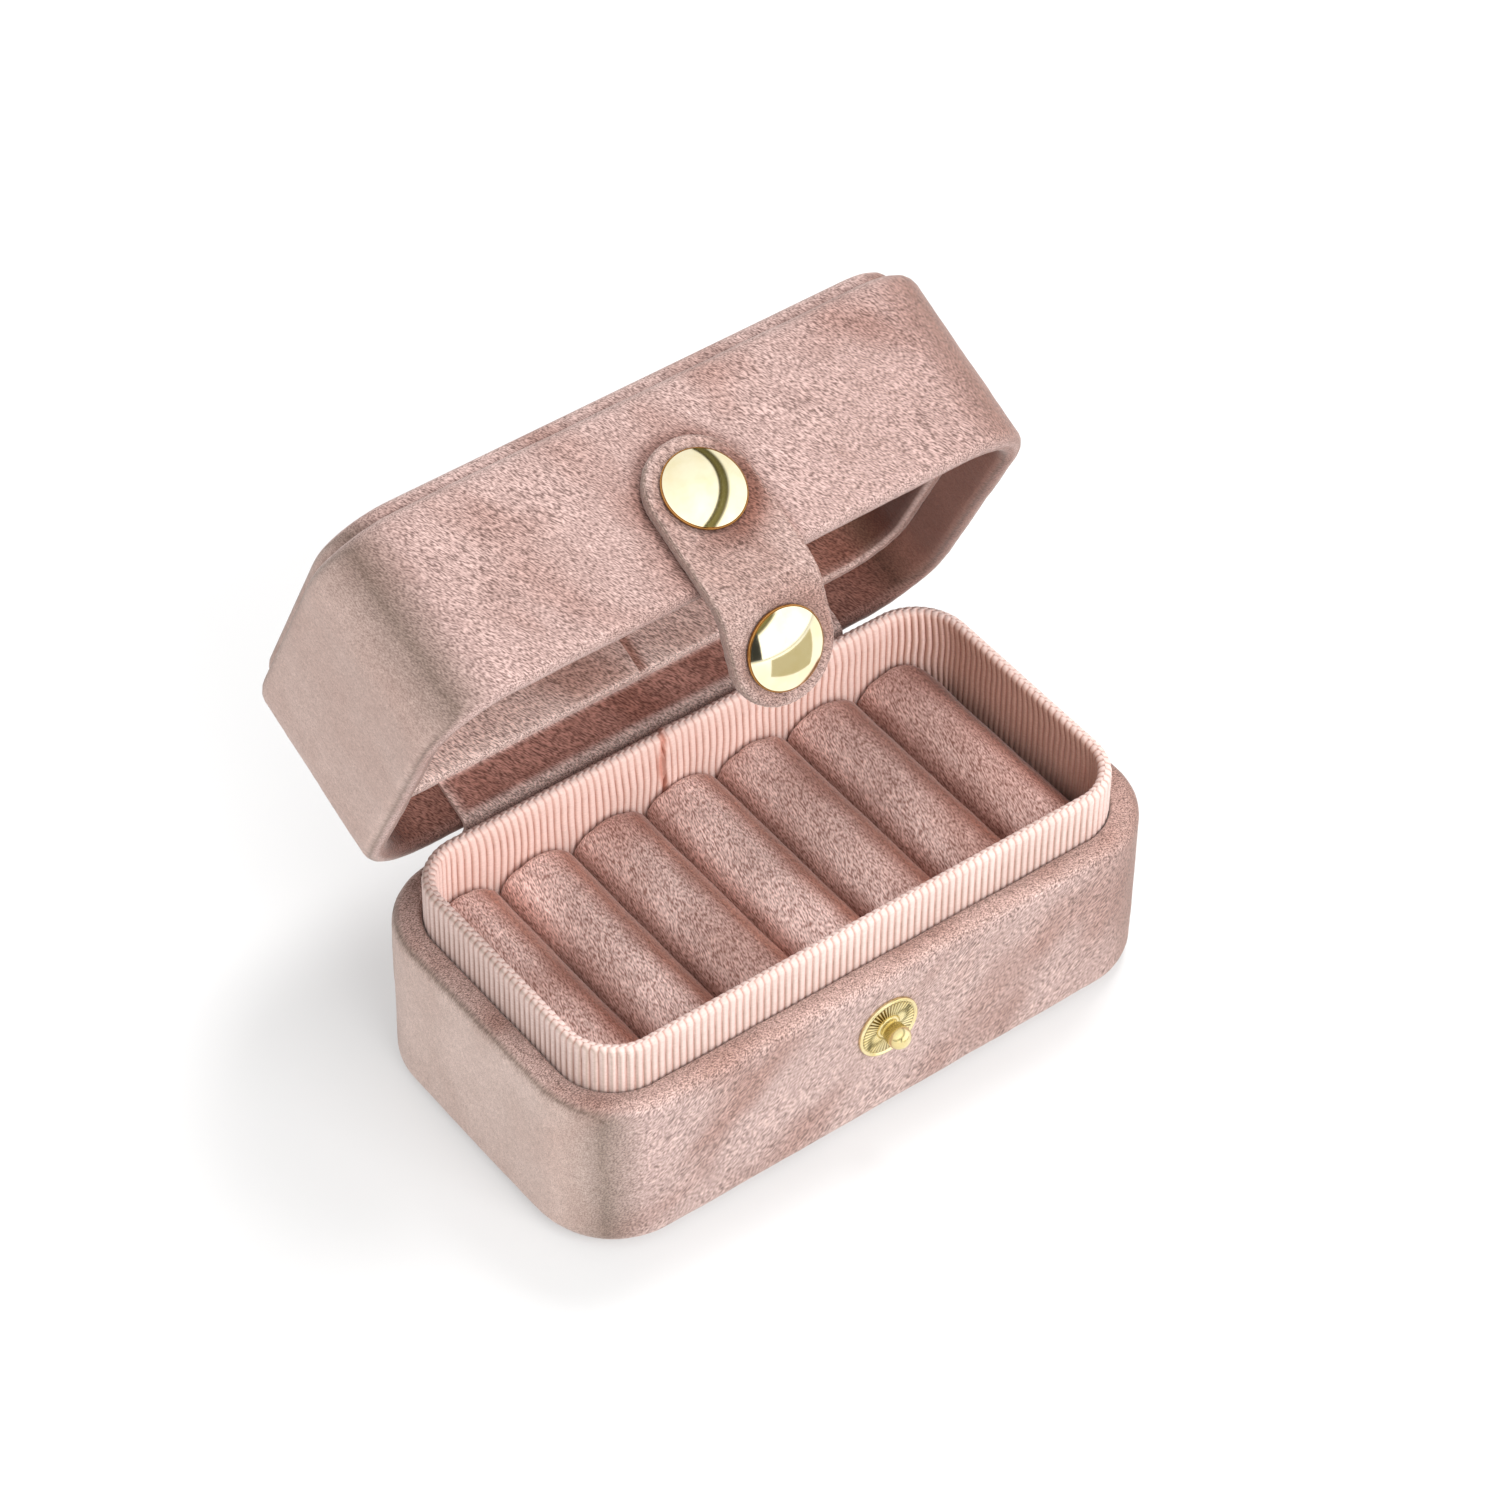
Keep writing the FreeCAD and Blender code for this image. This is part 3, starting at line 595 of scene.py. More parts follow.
class Nodes:
    """A short way to lay out the nodes of a material or of the world."""

    def __init__(self, owner: bpy.types.Material | bpy.types.World) -> None:
        """Turns the owner's nodes on and finds its shader."""
        self.owner = owner
        owner.use_nodes = True
        self.tree = owner.node_tree
        self.shader = next(n for n in self.tree.nodes if n.type in ("BSDF_PRINCIPLED", "BACKGROUND"))

    def add(self, kind: str, **values: object) -> bpy.types.Node:
        """Adds a node and sets its properties and inputs.

        Args:
            kind: the node's type, without the ShaderNode prefix.
            values: properties by name, or inputs by name with spaces as underscores. A socket is linked.

        Returns:
            The new node.
        """
        node = self.tree.nodes.new(f"ShaderNode{kind}")
        for name, value in values.items():
            if hasattr(node, name):
                setattr(node, name, value)
            else:
                self.feed(node, name.replace("_", " "), value)
        return node

    def feed(self, node: bpy.types.Node, socket: str | int, value: object) -> None:
        """Links or sets one input of a node."""
        if isinstance(value, bpy.types.NodeSocket):
            self.tree.links.new(value, node.inputs[socket])
        else:
            node.inputs[socket].default_value = value

    def shade(self, **values: object) -> None:
        """Links or sets inputs of the shader."""
        for name, value in values.items():
            self.feed(self.shader, name.replace("_", " "), value)

    def spots(self, vector: bpy.types.NodeSocket, per_mm: float, detail: float) -> bpy.types.NodeSocket:
        """Gives a noise value.

        Args:
            vector: where the noise is read, in metres.
            per_mm: spots in a millimetre.
            detail: finer layers of the noise.

        Returns:
            The noise, from 0 to 1.
        """
        return self.add("TexNoise", Vector=vector, Scale=per_mm * PER_METRE, Detail=detail).outputs[0]

    def ramp(
        self, value: bpy.types.NodeSocket, stops: Sequence[tuple[float, Colour]]
    ) -> bpy.types.NodeSocket:
        """Gives a colour for a value.

        Args:
            value: from 0 to 1.
            stops: places and their linear colours.

        Returns:
            The colour.
        """
        node = self.add("ValToRGB", Fac=value)
        elements = node.color_ramp.elements
        while len(elements) < len(stops):
            elements.new(0.5)
        for element, (place, colour) in zip(elements, stops):
            element.position = place
            element.color = (*colour, 1)
        return node.outputs[0]

    def mix(
        self,
        share: bpy.types.NodeSocket | float,
        first: bpy.types.NodeSocket | Colour,
        second: bpy.types.NodeSocket | Colour,
        blend: str = "MIX",
    ) -> bpy.types.NodeSocket:
        """Mixes two colours.

        Args:
            share: how much of the second.
            first: a colour.
            second: a colour.
            blend: how they are mixed.

        Returns:
            The mixed colour.
        """
        node = self.add("Mix", data_type="RGBA", blend_type=blend)
        share_in, first_in, second_in, colour_out = 0, 6, 7, 2
        for index, value in ((share_in, share), (first_in, first), (second_in, second)):
            self.feed(node, index, (*value, 1) if isinstance(value, tuple) else value)
        return node.outputs[colour_out]

    def tint(
        self,
        colour: bpy.types.NodeSocket,
        by: bpy.types.NodeSocket | Colour,
        share: bpy.types.NodeSocket | float = 1.0,
    ) -> bpy.types.NodeSocket:
        """Multiplies a colour with another, as far as the share says."""
        return self.mix(share, colour, by, "MULTIPLY")

    def attribute(self, name: str) -> bpy.types.NodeSocket:
        """Gives a value that the mesh carries at its points."""
        return self.add("Attribute", attribute_name=name).outputs["Fac"]

    def half(self, value: bpy.types.NodeSocket) -> bpy.types.NodeSocket:
        """Brings a value from between -1 and 1 to between 0 and 1."""
        return self.blend(value, 0.5, 0.5)

    def blend(self, value: object, times: object, plus: object) -> bpy.types.NodeSocket:
        """Gives a value times another plus a third."""
        result = self.reckon("MULTIPLY_ADD", value, times)
        self.feed(result.node, 2, plus)
        return result

    def reckon(self, how: str, first: object, second: object) -> bpy.types.NodeSocket:
        """Gives the result of one sum."""
        node = self.add("Math", operation=how)
        self.feed(node, 0, first)
        self.feed(node, 1, second)
        return node.outputs[0]


def srgb(red: int, green: int, blue: int) -> Colour:
    """Gives a screen colour as linear light."""
    return tuple(
        (c / 255 / 12.92) if c <= 10 else ((c / 255 + 0.055) / 1.055) ** 2.4 for c in (red, green, blue)
    )


EVEN: Colour = (1.0, 1.0, 1.0)


@dataclass(frozen=True)
class Velvet:
    """Short plush with painted light and shade: faces are tinted by the side they look to, as if its pile
    leaned one way.

    Attributes:
        name: the material's name.
        tilt: how far the piece is turned about X with the open lid, in degrees.
        lean: how far the pile leans from the vertical to the right, in degrees.
        body: the colour of the pile.
        marks: how strong the reddish brush marks are, from 0 to 1.
        bloom: how strong the painted highlight is where the pile opens over an edge, from 0 to 1.
        left: painted light and shade, what faces to the left are multiplied with.
        turn: painted light and shade, what faces between left and front are multiplied with.
        right: painted shade, what faces to the right are multiplied with.
        up: painted light and shade, what faces that look up are multiplied with.
        fineness: fibres in a millimetre.
        root: the gaps between fibres, against the body colour.
        tip: the tips of fibres, against the body colour.
        edge: the colour of the painted highlight where the pile opens over an edge.
        mark: what brush marks are multiplied with.
        hush: how far faces to the left lose their grain, from 0 to 1.
        far: where faces count as facing right, from 0.5 for the front to 1.
        wash: what pile that was brushed upright is multiplied with.
        shade_wear_tint: what painted shade and shadow, and pressed pile, are multiplied with.
        tuft_dark: what the gaps between tufts are multiplied with.
        tuft_pale: what the tufts are multiplied with.
        tufts_per_mm: tufts in a millimetre.
        patches_per_mm: brush marks in a millimetre.
        strand_scale: how fibres are squeezed along the pile, because they are long.
        tuft_scale: the same for tufts.
        patch_scale: the same for brush marks.
        sheen: the colour of the pile's shine.
    """

    name: str
    tilt: float = 0.0
    lean: float = 50.0
    body: Colour = srgb(170, 146, 140)
    marks: float = 0.8
    bloom: float = 0.15
    left: Colour = (1.45, 1.54, 1.5)
    turn: Colour = (0.58, 0.6, 0.55)
    right: Colour = (0.6, 0.46, 0.4)
    up: Colour = (1.0, 1.0, 1.0)
    fineness: float = 6.3
    root: Colour = (0.36, 0.32, 0.31)
    tip: Colour = (1.62, 1.66, 1.67)
    edge: Colour = srgb(206, 182, 175)
    mark: Colour = (0.7, 0.55, 0.5)
    hush: float = 1.0
    far: float = 0.8
    wash: Colour = (1.1, 1.11, 1.12)
    shade_wear_tint: Colour = (0.48, 0.3, 0.25)
    tuft_dark: Colour = (0.87, 0.85, 0.84)
    tuft_pale: Colour = (1.1, 1.11, 1.11)
    tufts_per_mm: float = 1.6
    patches_per_mm: float = 0.085
    strand_scale: Colour = (1, 1, 0.28)
    tuft_scale: Colour = (1, 1, 0.3)
    patch_scale: Colour = (1, 1, 0.55)
    sheen: Colour = srgb(238, 226, 220)

    def make(self) -> bpy.types.Material:
        """Builds the nodes.

        Returns:
            The material.
        """
        nodes = Nodes(bpy.data.materials.new(self.name))
        source = nodes.add("TexCoord")
        place = source.outputs["Object"]
        normal = nodes.add("SeparateXYZ", Vector=source.outputs["Normal"]).outputs
        facing = normal["X"]
        edge = nodes.attribute("edge")
        angles = (math.radians(self.tilt), math.radians(-self.lean), 0)
        turned = nodes.add("Mapping", Vector=place, Rotation=angles).outputs[0]
        scales = (self.strand_scale, self.tuft_scale, self.patch_scale)
        strands, locks, brushed = (nodes.add("Mapping", Vector=turned, Scale=s).outputs[0] for s in scales)
        fibres = nodes.spots(strands, self.fineness, detail=0.5)
        clumps = nodes.spots(locks, self.tufts_per_mm, detail=2)
        patches = nodes.spots(brushed, self.patches_per_mm, detail=2)
        grain = nodes.ramp(fibres, ((0.3, self.root), (0.5, EVEN), (0.7, self.tip)))
        tufts = nodes.ramp(clumps, ((0.3, self.tuft_dark), (0.7, self.tuft_pale)))
        # Painted light and shade by the side a face looks to: tints for faces to the left, between left and
        # front, to the right and looking up.
        rest = self.far - 0.25
        sides = ((0.02, self.left), (0.17, self.turn), (0.36, EVEN), (rest, EVEN), (self.far, self.right))
        side_light = nodes.ramp(nodes.half(facing), sides)
        marks = nodes.ramp(patches, ((0.48, EVEN), (0.72, self.mark)))
        wash = nodes.ramp(patches, ((0.28, self.wash), (0.5, EVEN)))
        ledge = nodes.ramp(normal["Z"], ((0.55, EVEN), (0.95, self.up)))
        plain = nodes.blend(facing, times=-0.75, plus=-0.05)
        plain.node.use_clamp = True
        stained = nodes.blend(plain, -self.marks, self.marks)
        colour = nodes.tint(nodes.tint(side_light, self.body), ledge)
        colour = nodes.tint(nodes.tint(colour, marks, stained), wash)
        # Painted shade and shadow, with pressed pile and a darkening towards the right, where the mesh marks
        # them.
        colour = nodes.tint(colour, self.shade_wear_tint, nodes.attribute("rub"))
        # Painted highlight where the pile opens over an edge.
        colour = nodes.mix(nodes.reckon("MULTIPLY", edge, self.bloom), colour, self.edge)
        grain = nodes.mix(nodes.reckon("MULTIPLY", plain, self.hush), grain, EVEN)
        colour = nodes.tint(nodes.tint(colour, grain, share=0.9), tufts, share=0.8)
        height = nodes.blend(fibres, times=0.6, plus=nodes.reckon("MULTIPLY", clumps, 0.6))
        soft = nodes.add("Bump", Strength=0.12, Distance=mm(1.5), Height=patches).outputs[0]
        pile = nodes.add("Bump", Strength=0.5, Distance=mm(0.25), Height=height, Normal=soft).outputs[0]
        nodes.shade(
            Base_Color=colour,
            Roughness=0.95,
            Specular_IOR_Level=0.1,
            Sheen_Weight=0.45,
            Sheen_Roughness=0.5,
            Sheen_Tint=(*self.sheen, 1),
            Normal=pile,
        )
        return nodes.owner


@dataclass(frozen=True)
class Ribbon:
    """Ribbed ribbon with a faint weave across its cords, with painted shade between the cords and painted
    light and shade by the side each face looks to.
    """

    name: str = "ribbon"
    crest: Colour = srgb(222, 199, 192)
    groove: Colour = srgb(192, 152, 141)
    fold: Colour = srgb(196, 136, 120)
    shadow: Colour = (0.68, 0.52, 0.44)
    turn: Colour = (0.66, 0.65, 0.61)
    lit: Colour = (1.24, 1.21, 1.2)
    weave_dark: Colour = (0.9, 0.88, 0.87)
    weave_pale: Colour = (1.05, 1.05, 1.05)
    wash_dark: Colour = (0.95, 0.93, 0.92)
    wash_pale: Colour = (1.03, 1.03, 1.03)
    weave_per_mm: float = 5.0
    wash_per_mm: float = 0.12
    thread_scale: Colour = (0.35, 0.35, 1)

    def make(self) -> bpy.types.Material:
        """Builds the nodes.

        Returns:
            The material.
        """
        nodes = Nodes(bpy.data.materials.new(self.name))
        source = nodes.add("TexCoord")
        place = source.outputs["Object"]
        threads = nodes.add("Mapping", Vector=place, Scale=self.thread_scale).outputs[0]
        weave = nodes.spots(threads, self.weave_per_mm, detail=2)
        wash = nodes.spots(place, self.wash_per_mm, detail=2)
        # Painted shade between the cords: the grooves darker than the crests.
        colour = nodes.ramp(nodes.attribute("cord"), ((0.0, self.groove), (0.7, self.crest)))
        # Painted shadow along the raised edge of the lapped join at the back.
        colour = nodes.mix(nodes.attribute("lap"), colour, self.fold)
        # Painted light and shade by the side a face looks to: inside the collar darker and redder facing left
        # and lighter facing the front, outside darker between left and front.
        normal = nodes.add("SeparateXYZ", Vector=source.outputs["Normal"]).outputs
        across, ahead = nodes.half(normal["X"]), nodes.half(normal["Y"])
        inner_side_shade = nodes.ramp(across, ((0.0, self.shadow), (0.35, EVEN)))
        front = nodes.ramp(ahead, ((0.05, self.lit), (0.4, EVEN)))
        inside = nodes.tint(inner_side_shade, front)
        outside = nodes.ramp(across, ((0.03, EVEN), (0.17, self.turn), (0.36, EVEN)))
        colour = nodes.tint(colour, nodes.mix(nodes.attribute("inner"), outside, inside))
        shade = nodes.ramp(weave, ((0.3, self.weave_dark), (0.7, self.weave_pale)))
        tone = nodes.ramp(wash, ((0.3, self.wash_dark), (0.7, self.wash_pale)))
        colour = nodes.tint(nodes.tint(colour, shade, share=0.9), tone)
        bump = nodes.add("Bump", Strength=0.25, Distance=mm(0.08), Height=weave).outputs[0]
        nodes.shade(
            Base_Color=colour,
            Roughness=0.72,
            Specular_IOR_Level=0.25,
            Sheen_Weight=0.2,
            Sheen_Roughness=0.4,
            Normal=bump,
        )
        return nodes.owner


@dataclass(frozen=True)
class Metal:
    """Polished or plain brass with faint wear, and a painted tint on marked parts: a coppery reflection on a
    cap's rim, shade in the stud's grooves.
    """

    name: str
    colour: Colour
    shadow: Colour
    roughness: float
    wear: float
    shade_and_reflection: Colour
    haze_per_mm: float = 0.35
    scuffs_per_mm: float = 3.0

    def make(self) -> bpy.types.Material:
        """Builds the nodes.

        Returns:
            The material.
        """
        nodes = Nodes(bpy.data.materials.new(self.name))
        place = nodes.add("TexCoord").outputs["Object"]
        haze = nodes.spots(place, self.haze_per_mm, detail=4)
        scuffs = nodes.spots(place, self.scuffs_per_mm, detail=3)
        colour = nodes.ramp(haze, ((0.35, self.shadow), (0.6, self.colour)))
        # Painted tint where the mesh marks it: a coppery painted reflection on a cap's rim, painted shade in
        # the stud's grooves.
        colour = nodes.tint(colour, self.shade_and_reflection, nodes.attribute("groove"))
        rough = nodes.blend(scuffs, self.wear, self.roughness)
        nodes.shade(Base_Color=colour, Metallic=1.0, Roughness=rough)
        return nodes.owner


@dataclass(frozen=True)
class Plain:
    """A matt material with a little grain: moulding, board or foam."""

    name: str
    colour: Colour
    dark: Colour
    roughness: float
    grain_per_mm: float
    relief: float

    def make(self) -> bpy.types.Material:
        """Builds the nodes.

        Returns:
            The material.
        """
        nodes = Nodes(bpy.data.materials.new(self.name))
        place = nodes.add("TexCoord").outputs["Object"]
        grain = nodes.spots(place, self.grain_per_mm, detail=4)
        colour = nodes.ramp(grain, ((0.3, self.dark), (0.7, self.colour)))
        bump = nodes.add("Bump", Strength=0.4, Distance=mm(self.relief), Height=grain).outputs[0]
        nodes.shade(Base_Color=colour, Roughness=self.roughness, Normal=bump)
        return nodes.owner


LidVelvet = partial(Velvet, tilt=OPEN_ANGLE, lean=-32.0)

# One velvet in lit and shaded copies: the body colours differ as painted light and shade, darker inside the
# lid and on the hinge strip, paler on the band; the up tint is painted shade on faces that look up, the
# band's and strap's left tints painted shade on faces to the left, and the hinge strip and band carry a
# strong painted edge highlight.
VELVET = Velvet("velvet", up=(1.0, 0.95, 0.92)).make()
LID_VELVET = LidVelvet("lid_velvet", body=srgb(164, 138, 132)).make()
LINING_VELVET = LidVelvet("lining_velvet", body=srgb(152, 113, 104)).make()
HINGE_VELVET = LidVelvet("hinge_velvet", body=srgb(140, 98, 88), bloom=0.9).make()
BAND_VELVET = LidVelvet("band_velvet", body=srgb(198, 172, 164), bloom=0.7, left=(0.42, 0.3, 0.26)).make()
STRAP_VELVET = LidVelvet("strap_velvet", body=srgb(161, 136, 129), bloom=0.35, left=(0.8, 0.74, 0.71)).make()
# The rolls in a paler, lit copy, with painted light on their left flanks and crowns and painted shade, darker
# and redder, on their right flanks.
ROLL_VELVET = Velvet(
    "roll_velvet",
    tilt=78.0,
    lean=14.0,
    body=srgb(202, 172, 165),
    left=(0.85, 0.66, 0.6),
    turn=(1.12, 1.14, 1.14),
    right=(0.52, 0.29, 0.22),
    fineness=5.4,
    root=(0.46, 0.32, 0.28),
    tip=(1.5, 1.58, 1.6),
    hush=0.0,
    far=0.76,
    wash=(1.3, 1.36, 1.38),
).make()
RIBBON = Ribbon().make()
GILT = Metal(
    "gilt_brass",
    colour=srgb(250, 241, 208),
    shadow=srgb(246, 234, 194),
    roughness=0.06,
    wear=0.04,
    shade_and_reflection=(0.5, 0.28, 0.12),
).make()
BRASS = Metal(
    "plain_brass",
    colour=srgb(244, 230, 182),
    shadow=srgb(232, 214, 156),
    roughness=0.2,
    wear=0.1,
    shade_and_reflection=(0.2, 0.15, 0.08),
).make()
MOULDING = Plain(
    "moulded_frame",
    colour=srgb(72, 66, 64),
    dark=srgb(54, 49, 48),
    roughness=0.6,
    grain_per_mm=2.0,
    relief=0.03,
).make()
BOARD = Plain(
    "board",
    colour=srgb(176, 156, 132),
    dark=srgb(148, 126, 104),
    roughness=0.85,
    grain_per_mm=1.5,
    relief=0.05,
).make()
FOAM = Plain(
    "foam",
    colour=srgb(226, 214, 190),
    dark=srgb(198, 184, 158),
    roughness=0.95,
    grain_per_mm=1.2,
    relief=0.3,
).make()


class SubAssembly:
    """Pieces that are made and dressed together."""

    def dress(
        self,
        piece: bpy.types.Object,
        finish: bpy.types.Material,
        slot: Slot,
        nodes: Sequence[str],
        body: Body | None,
    ) -> bpy.types.Object:
        """Gives a finished mesh its material and its place in the frame.

        Args:
            piece: the finished mesh.
            finish: its material.
            slot: the record's slot for it.
            nodes: the frame's nodes that it stands for.
            body: what it rides on, or None to leave it on no body.

        Returns:
            The piece.
        """
        piece.data.materials.clear()
        piece.data.materials.append(finish)
        if slot is Slot.VELVET and "edge" not in piece.data.attributes:
            mark_edge_highlight(piece)
        if body is not None:
            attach(piece, body.value)
        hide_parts(*nodes)
        log.info("%s: %d faces for %s", piece.name, len(piece.data.polygons), ", ".join(nodes))
        return piece

    def keep(self, finish: bpy.types.Material, *nodes: str) -> None:
        """Gives nodes of the frame that stay in sight a finish.

        Args:
            finish: the material.
            nodes: the nodes' names.
        """
        for name in nodes:
            piece = frame["nodes"][name]
            piece.data.materials.clear()
            piece.data.materials.append(finish)
            log.info("%s: kept from the frame", name)


@dataclass
class BaseShell(SubAssembly):
    """The covered base: cloth round the frame and the board under it."""

    height: float = 27.5
    foot: float = 1.2
    cloth: float = 0.8
    lining: float = 4.2
    rim_round: float = 1.8
    inner_round: float = 0.7
    foot_round: float = 1.5
    turn_in: float = 5.0
    board_inset: float = 3.0
    board_round: float = 0.6
    right_end: float = 50.0
    right_darkening: float = 0.4

    def build(self) -> None:
        """Models and dresses the base."""
        self.keep(MOULDING, "base_frame")
        self.dress(self.wrap(), VELVET, Slot.VELVET, ["base_velvet_wrap"], Body.BASE)
        self.dress(self.board(), VELVET, Slot.VELVET, ["bottom_panel"], Body.BASE)

    def wrap(self) -> bpy.types.Object:
        """Sweeps the cloth round the base.

        Returns:
            The wrap, a closed skin.
        """
        hem = self.height - self.turn_in
        outer = rounded(
            (
                (self.lining, hem, 0),
                (self.lining, self.height, self.inner_round),
                (0, self.height, self.rim_round),
                (0, self.foot, self.foot_round),
                (self.lining, self.foot, 0),
            ),
            step=0.9,
        )
        inner = [
            (self.lining, self.foot + self.cloth),
            (self.cloth, self.foot + self.cloth),
            (self.cloth, self.height - self.cloth),
            (self.lining - self.cloth, self.height - self.cloth),
            (self.lining - self.cloth, hem),
        ]
        piece = PLAN.sweep("base_wrap", outer + inner, PLAN.faces(step=1.1))
        finish_wrap(piece, lambda point: darker_right(point.x, self.right_end, self.right_darkening, curve=3))
        shade_smooth(piece)
        return piece

    def board(self) -> bpy.types.Object:
        """Makes the covered board that the box stands on.

        Returns:
            The board.
        """
        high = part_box("bottom_panel")[1]
        piece = slab("bottom_board", PLAN, self.board_inset, 0, in_mm(high.z), self.board_round, 0)
        shade_smooth(piece)
        return piece


@dataclass
class Collar(SubAssembly):
    """The board collar inside the base, under its ribbed ribbon."""

    outer: float = 4.3
    inner: float = 6.3
    top: float = 34.9
    outer_hem: float = 24.5
    inner_hem: float = 17.0
    edge: float = 0.95
    thick: float = 0.4
    run_cords: int = 64
    side_cords: int = 25
    corner_cords: int = 11
    samples: int = 8
    cord_depth: float = 0.3
    fold_ease: float = 0.6
    sway: float = 0.3
    slant: float = 0.55
    join: float = -2.0
    lap_width: float = 4.5
    lap_lift: float = 0.55
    lap_wave: float = 0.7
    wave_height: float = 2.6
    lap_shadow_width: float = 0.16
    lap_shadow_shift: float = 0.05
    outer_calm: float = 5.0
    sway_size: float = 9.0
    sway_height: float = 5.0
    slant_depth: float = 5.0
    fold_reach: float = 1.4

    def build(self) -> None:
        """Models and dresses the collar."""
        self.keep(BOARD, "collar_card")
        self.dress(self.ribbon(), RIBBON, Slot.RIBBON, ["collar_ribbon"], Body.BASE)

    def ribbon(self) -> bpy.types.Object:
        """Sweeps the ribbon over the collar and raises its cords.

        Returns:
            The ribbon, a closed skin.
        """
        cover = rounded(
            (
                (self.inner, self.inner_hem, 0),
                (self.inner, self.top, self.edge),
                (self.outer, self.top, self.edge),
                (self.outer, self.outer_hem, 0),
            ),
            step=1.6,
        )
        lining = [
            (self.outer + self.thick, self.outer_hem),
            (self.outer + self.thick, self.top - self.thick),
            (self.inner - self.thick, self.top - self.thick),
            (self.inner - self.thick, self.inner_hem),
        ]
        faces = (self.run_cords, self.side_cords, self.corner_cords)
        piece = PLAN.sweep("ribbon", cover + lining, faces, finer=self.samples)
        self.raise_cords(piece)
        shade_smooth(piece, angle=80)
        return piece

    def raise_cords(self, piece: bpy.types.Object) -> None:
        """Sinks the skin between cords, lets the cords sway and lifts the lapped join at the back.

        Args:
            piece: the swept ribbon.
        """
        mesh = piece.data
        cord = mesh.attributes.new("cord", "FLOAT", "POINT")
        lap = mesh.attributes.new("lap", "FLOAT", "POINT")
        inner = mesh.attributes.new("inner", "FLOAT", "POINT")
        counts = (self.run_cords, self.corner_cords, self.side_cords, self.corner_cords)
        moves = []
        for vert in mesh.vertices:
            x, y, z = (in_mm(c) for c in vert.co)
            stretch, share = PLAN.place(x, y)
            across = share * counts[stretch % 4] % 1.0 * 2 - 1
            crest = 1 - across**2
            wave = self.lap_wave * math.sin((z - self.inner_hem) / self.wave_height)
            past = (x - self.join - wave) / self.lap_width if stretch == 4 else -1
            lift = self.lap_lift * (1 - past) if 0 <= past <= 1 else 0.0
            # The cord value gives painted shade between the cords, the lap value a painted shadow along the
            # lap's edge.
            cord.data[vert.index].value = crest
            lap.data[vert.index].value = max(0.0, 1 - abs(past + self.lap_shadow_shift) / self.lap_shadow_width)
            inside = PLAN.inset(x, y) > (self.outer + self.inner) / 2
            spot = Vector((x / self.sway_size, y / self.sway_size, z / self.sway_height))
            swing = self.sway / (1 if inside else self.outer_calm) * noise.noise(spot)
            inner.data[vert.index].value = float(inside)
            if inside:
                swing += self.slant * max(0.0, (z - self.top) / self.slant_depth + 1) ** 2
            turn = math.radians(90 * (stretch // 2 + share * (stretch % 2)))
            along = Vector((math.cos(turn), math.sin(turn), 0))
            ease = 1 - self.fold_ease * math.exp(-(((z - self.top) / self.fold_reach) ** 2))
            rise = ((crest - 1) * self.cord_depth + lift) * ease
            moves.append(vert.normal * mm(rise) + along * mm(swing))
        for vert, move in zip(mesh.vertices, moves):
            vert.co += move


@dataclass(frozen=True)
class Stuffing:
    """Foam under cloth, which swells a closed form until the cloth is tight.

    Attributes:
        weave: the size of the cloth's faces, in millimetres.
        give: how far a point may move, in millimetres.
        pressure: how hard the foam pushes.
        frames: steps of the simulation.
        magnify: how many times life size the simulation runs.
    """

    weave: float
    give: float
    pressure: float = 4.0
    frames: int = 20
    magnify: float = 40.0

    def swell(self, piece: bpy.types.Object, held: Callable[[Vector], bool]) -> None:
        """Remeshes a form and lets cloth pressure round it.

        Args:
            piece: the closed form.
            held: says whether a point, in metres, stays where it is.
        """
        select_only(piece)
        piece.data.remesh_voxel_size = mm(self.weave)
        bpy.ops.object.voxel_remesh()
        start = [vert.co.copy() for vert in piece.data.vertices]
        pins = piece.vertex_groups.new(name="held")
        pins.add([index for index, point in enumerate(start) if held(point)], 1.0, "REPLACE")
        piece.data.transform(Matrix.Scale(self.magnify, 4))
        self.simulate(piece)
        piece.data.transform(Matrix.Scale(1 / self.magnify, 4))
        for vert, point in zip(piece.data.vertices, start):
            move = vert.co - point
            if move.length > mm(self.give):
                vert.co = point + move * (mm(self.give) / move.length)
        piece.vertex_groups.clear()
        apply_modifier(piece, "SMOOTH", factor=0.5, iterations=4)
        apply_modifier(piece, "SUBSURF", levels=1, render_levels=1)

    def simulate(self, piece: bpy.types.Object) -> None:
        """Runs the cloth on a magnified form and applies its last shape."""
        modifier = piece.modifiers.new("cloth", "CLOTH")
        cloth = modifier.settings
        cloth.use_pressure = True
        cloth.uniform_pressure_force = self.pressure
        cloth.vertex_group_mass = "held"
        cloth.effector_weights.gravity = 0.0
        modifier.collision_settings.use_collision = False
        modifier.point_cache.frame_end = self.frames
        for number in range(1, self.frames + 1):
            bpy.context.scene.frame_set(number)
        bpy.ops.object.modifier_apply(modifier=modifier.name)
        bpy.context.scene.frame_set(1)


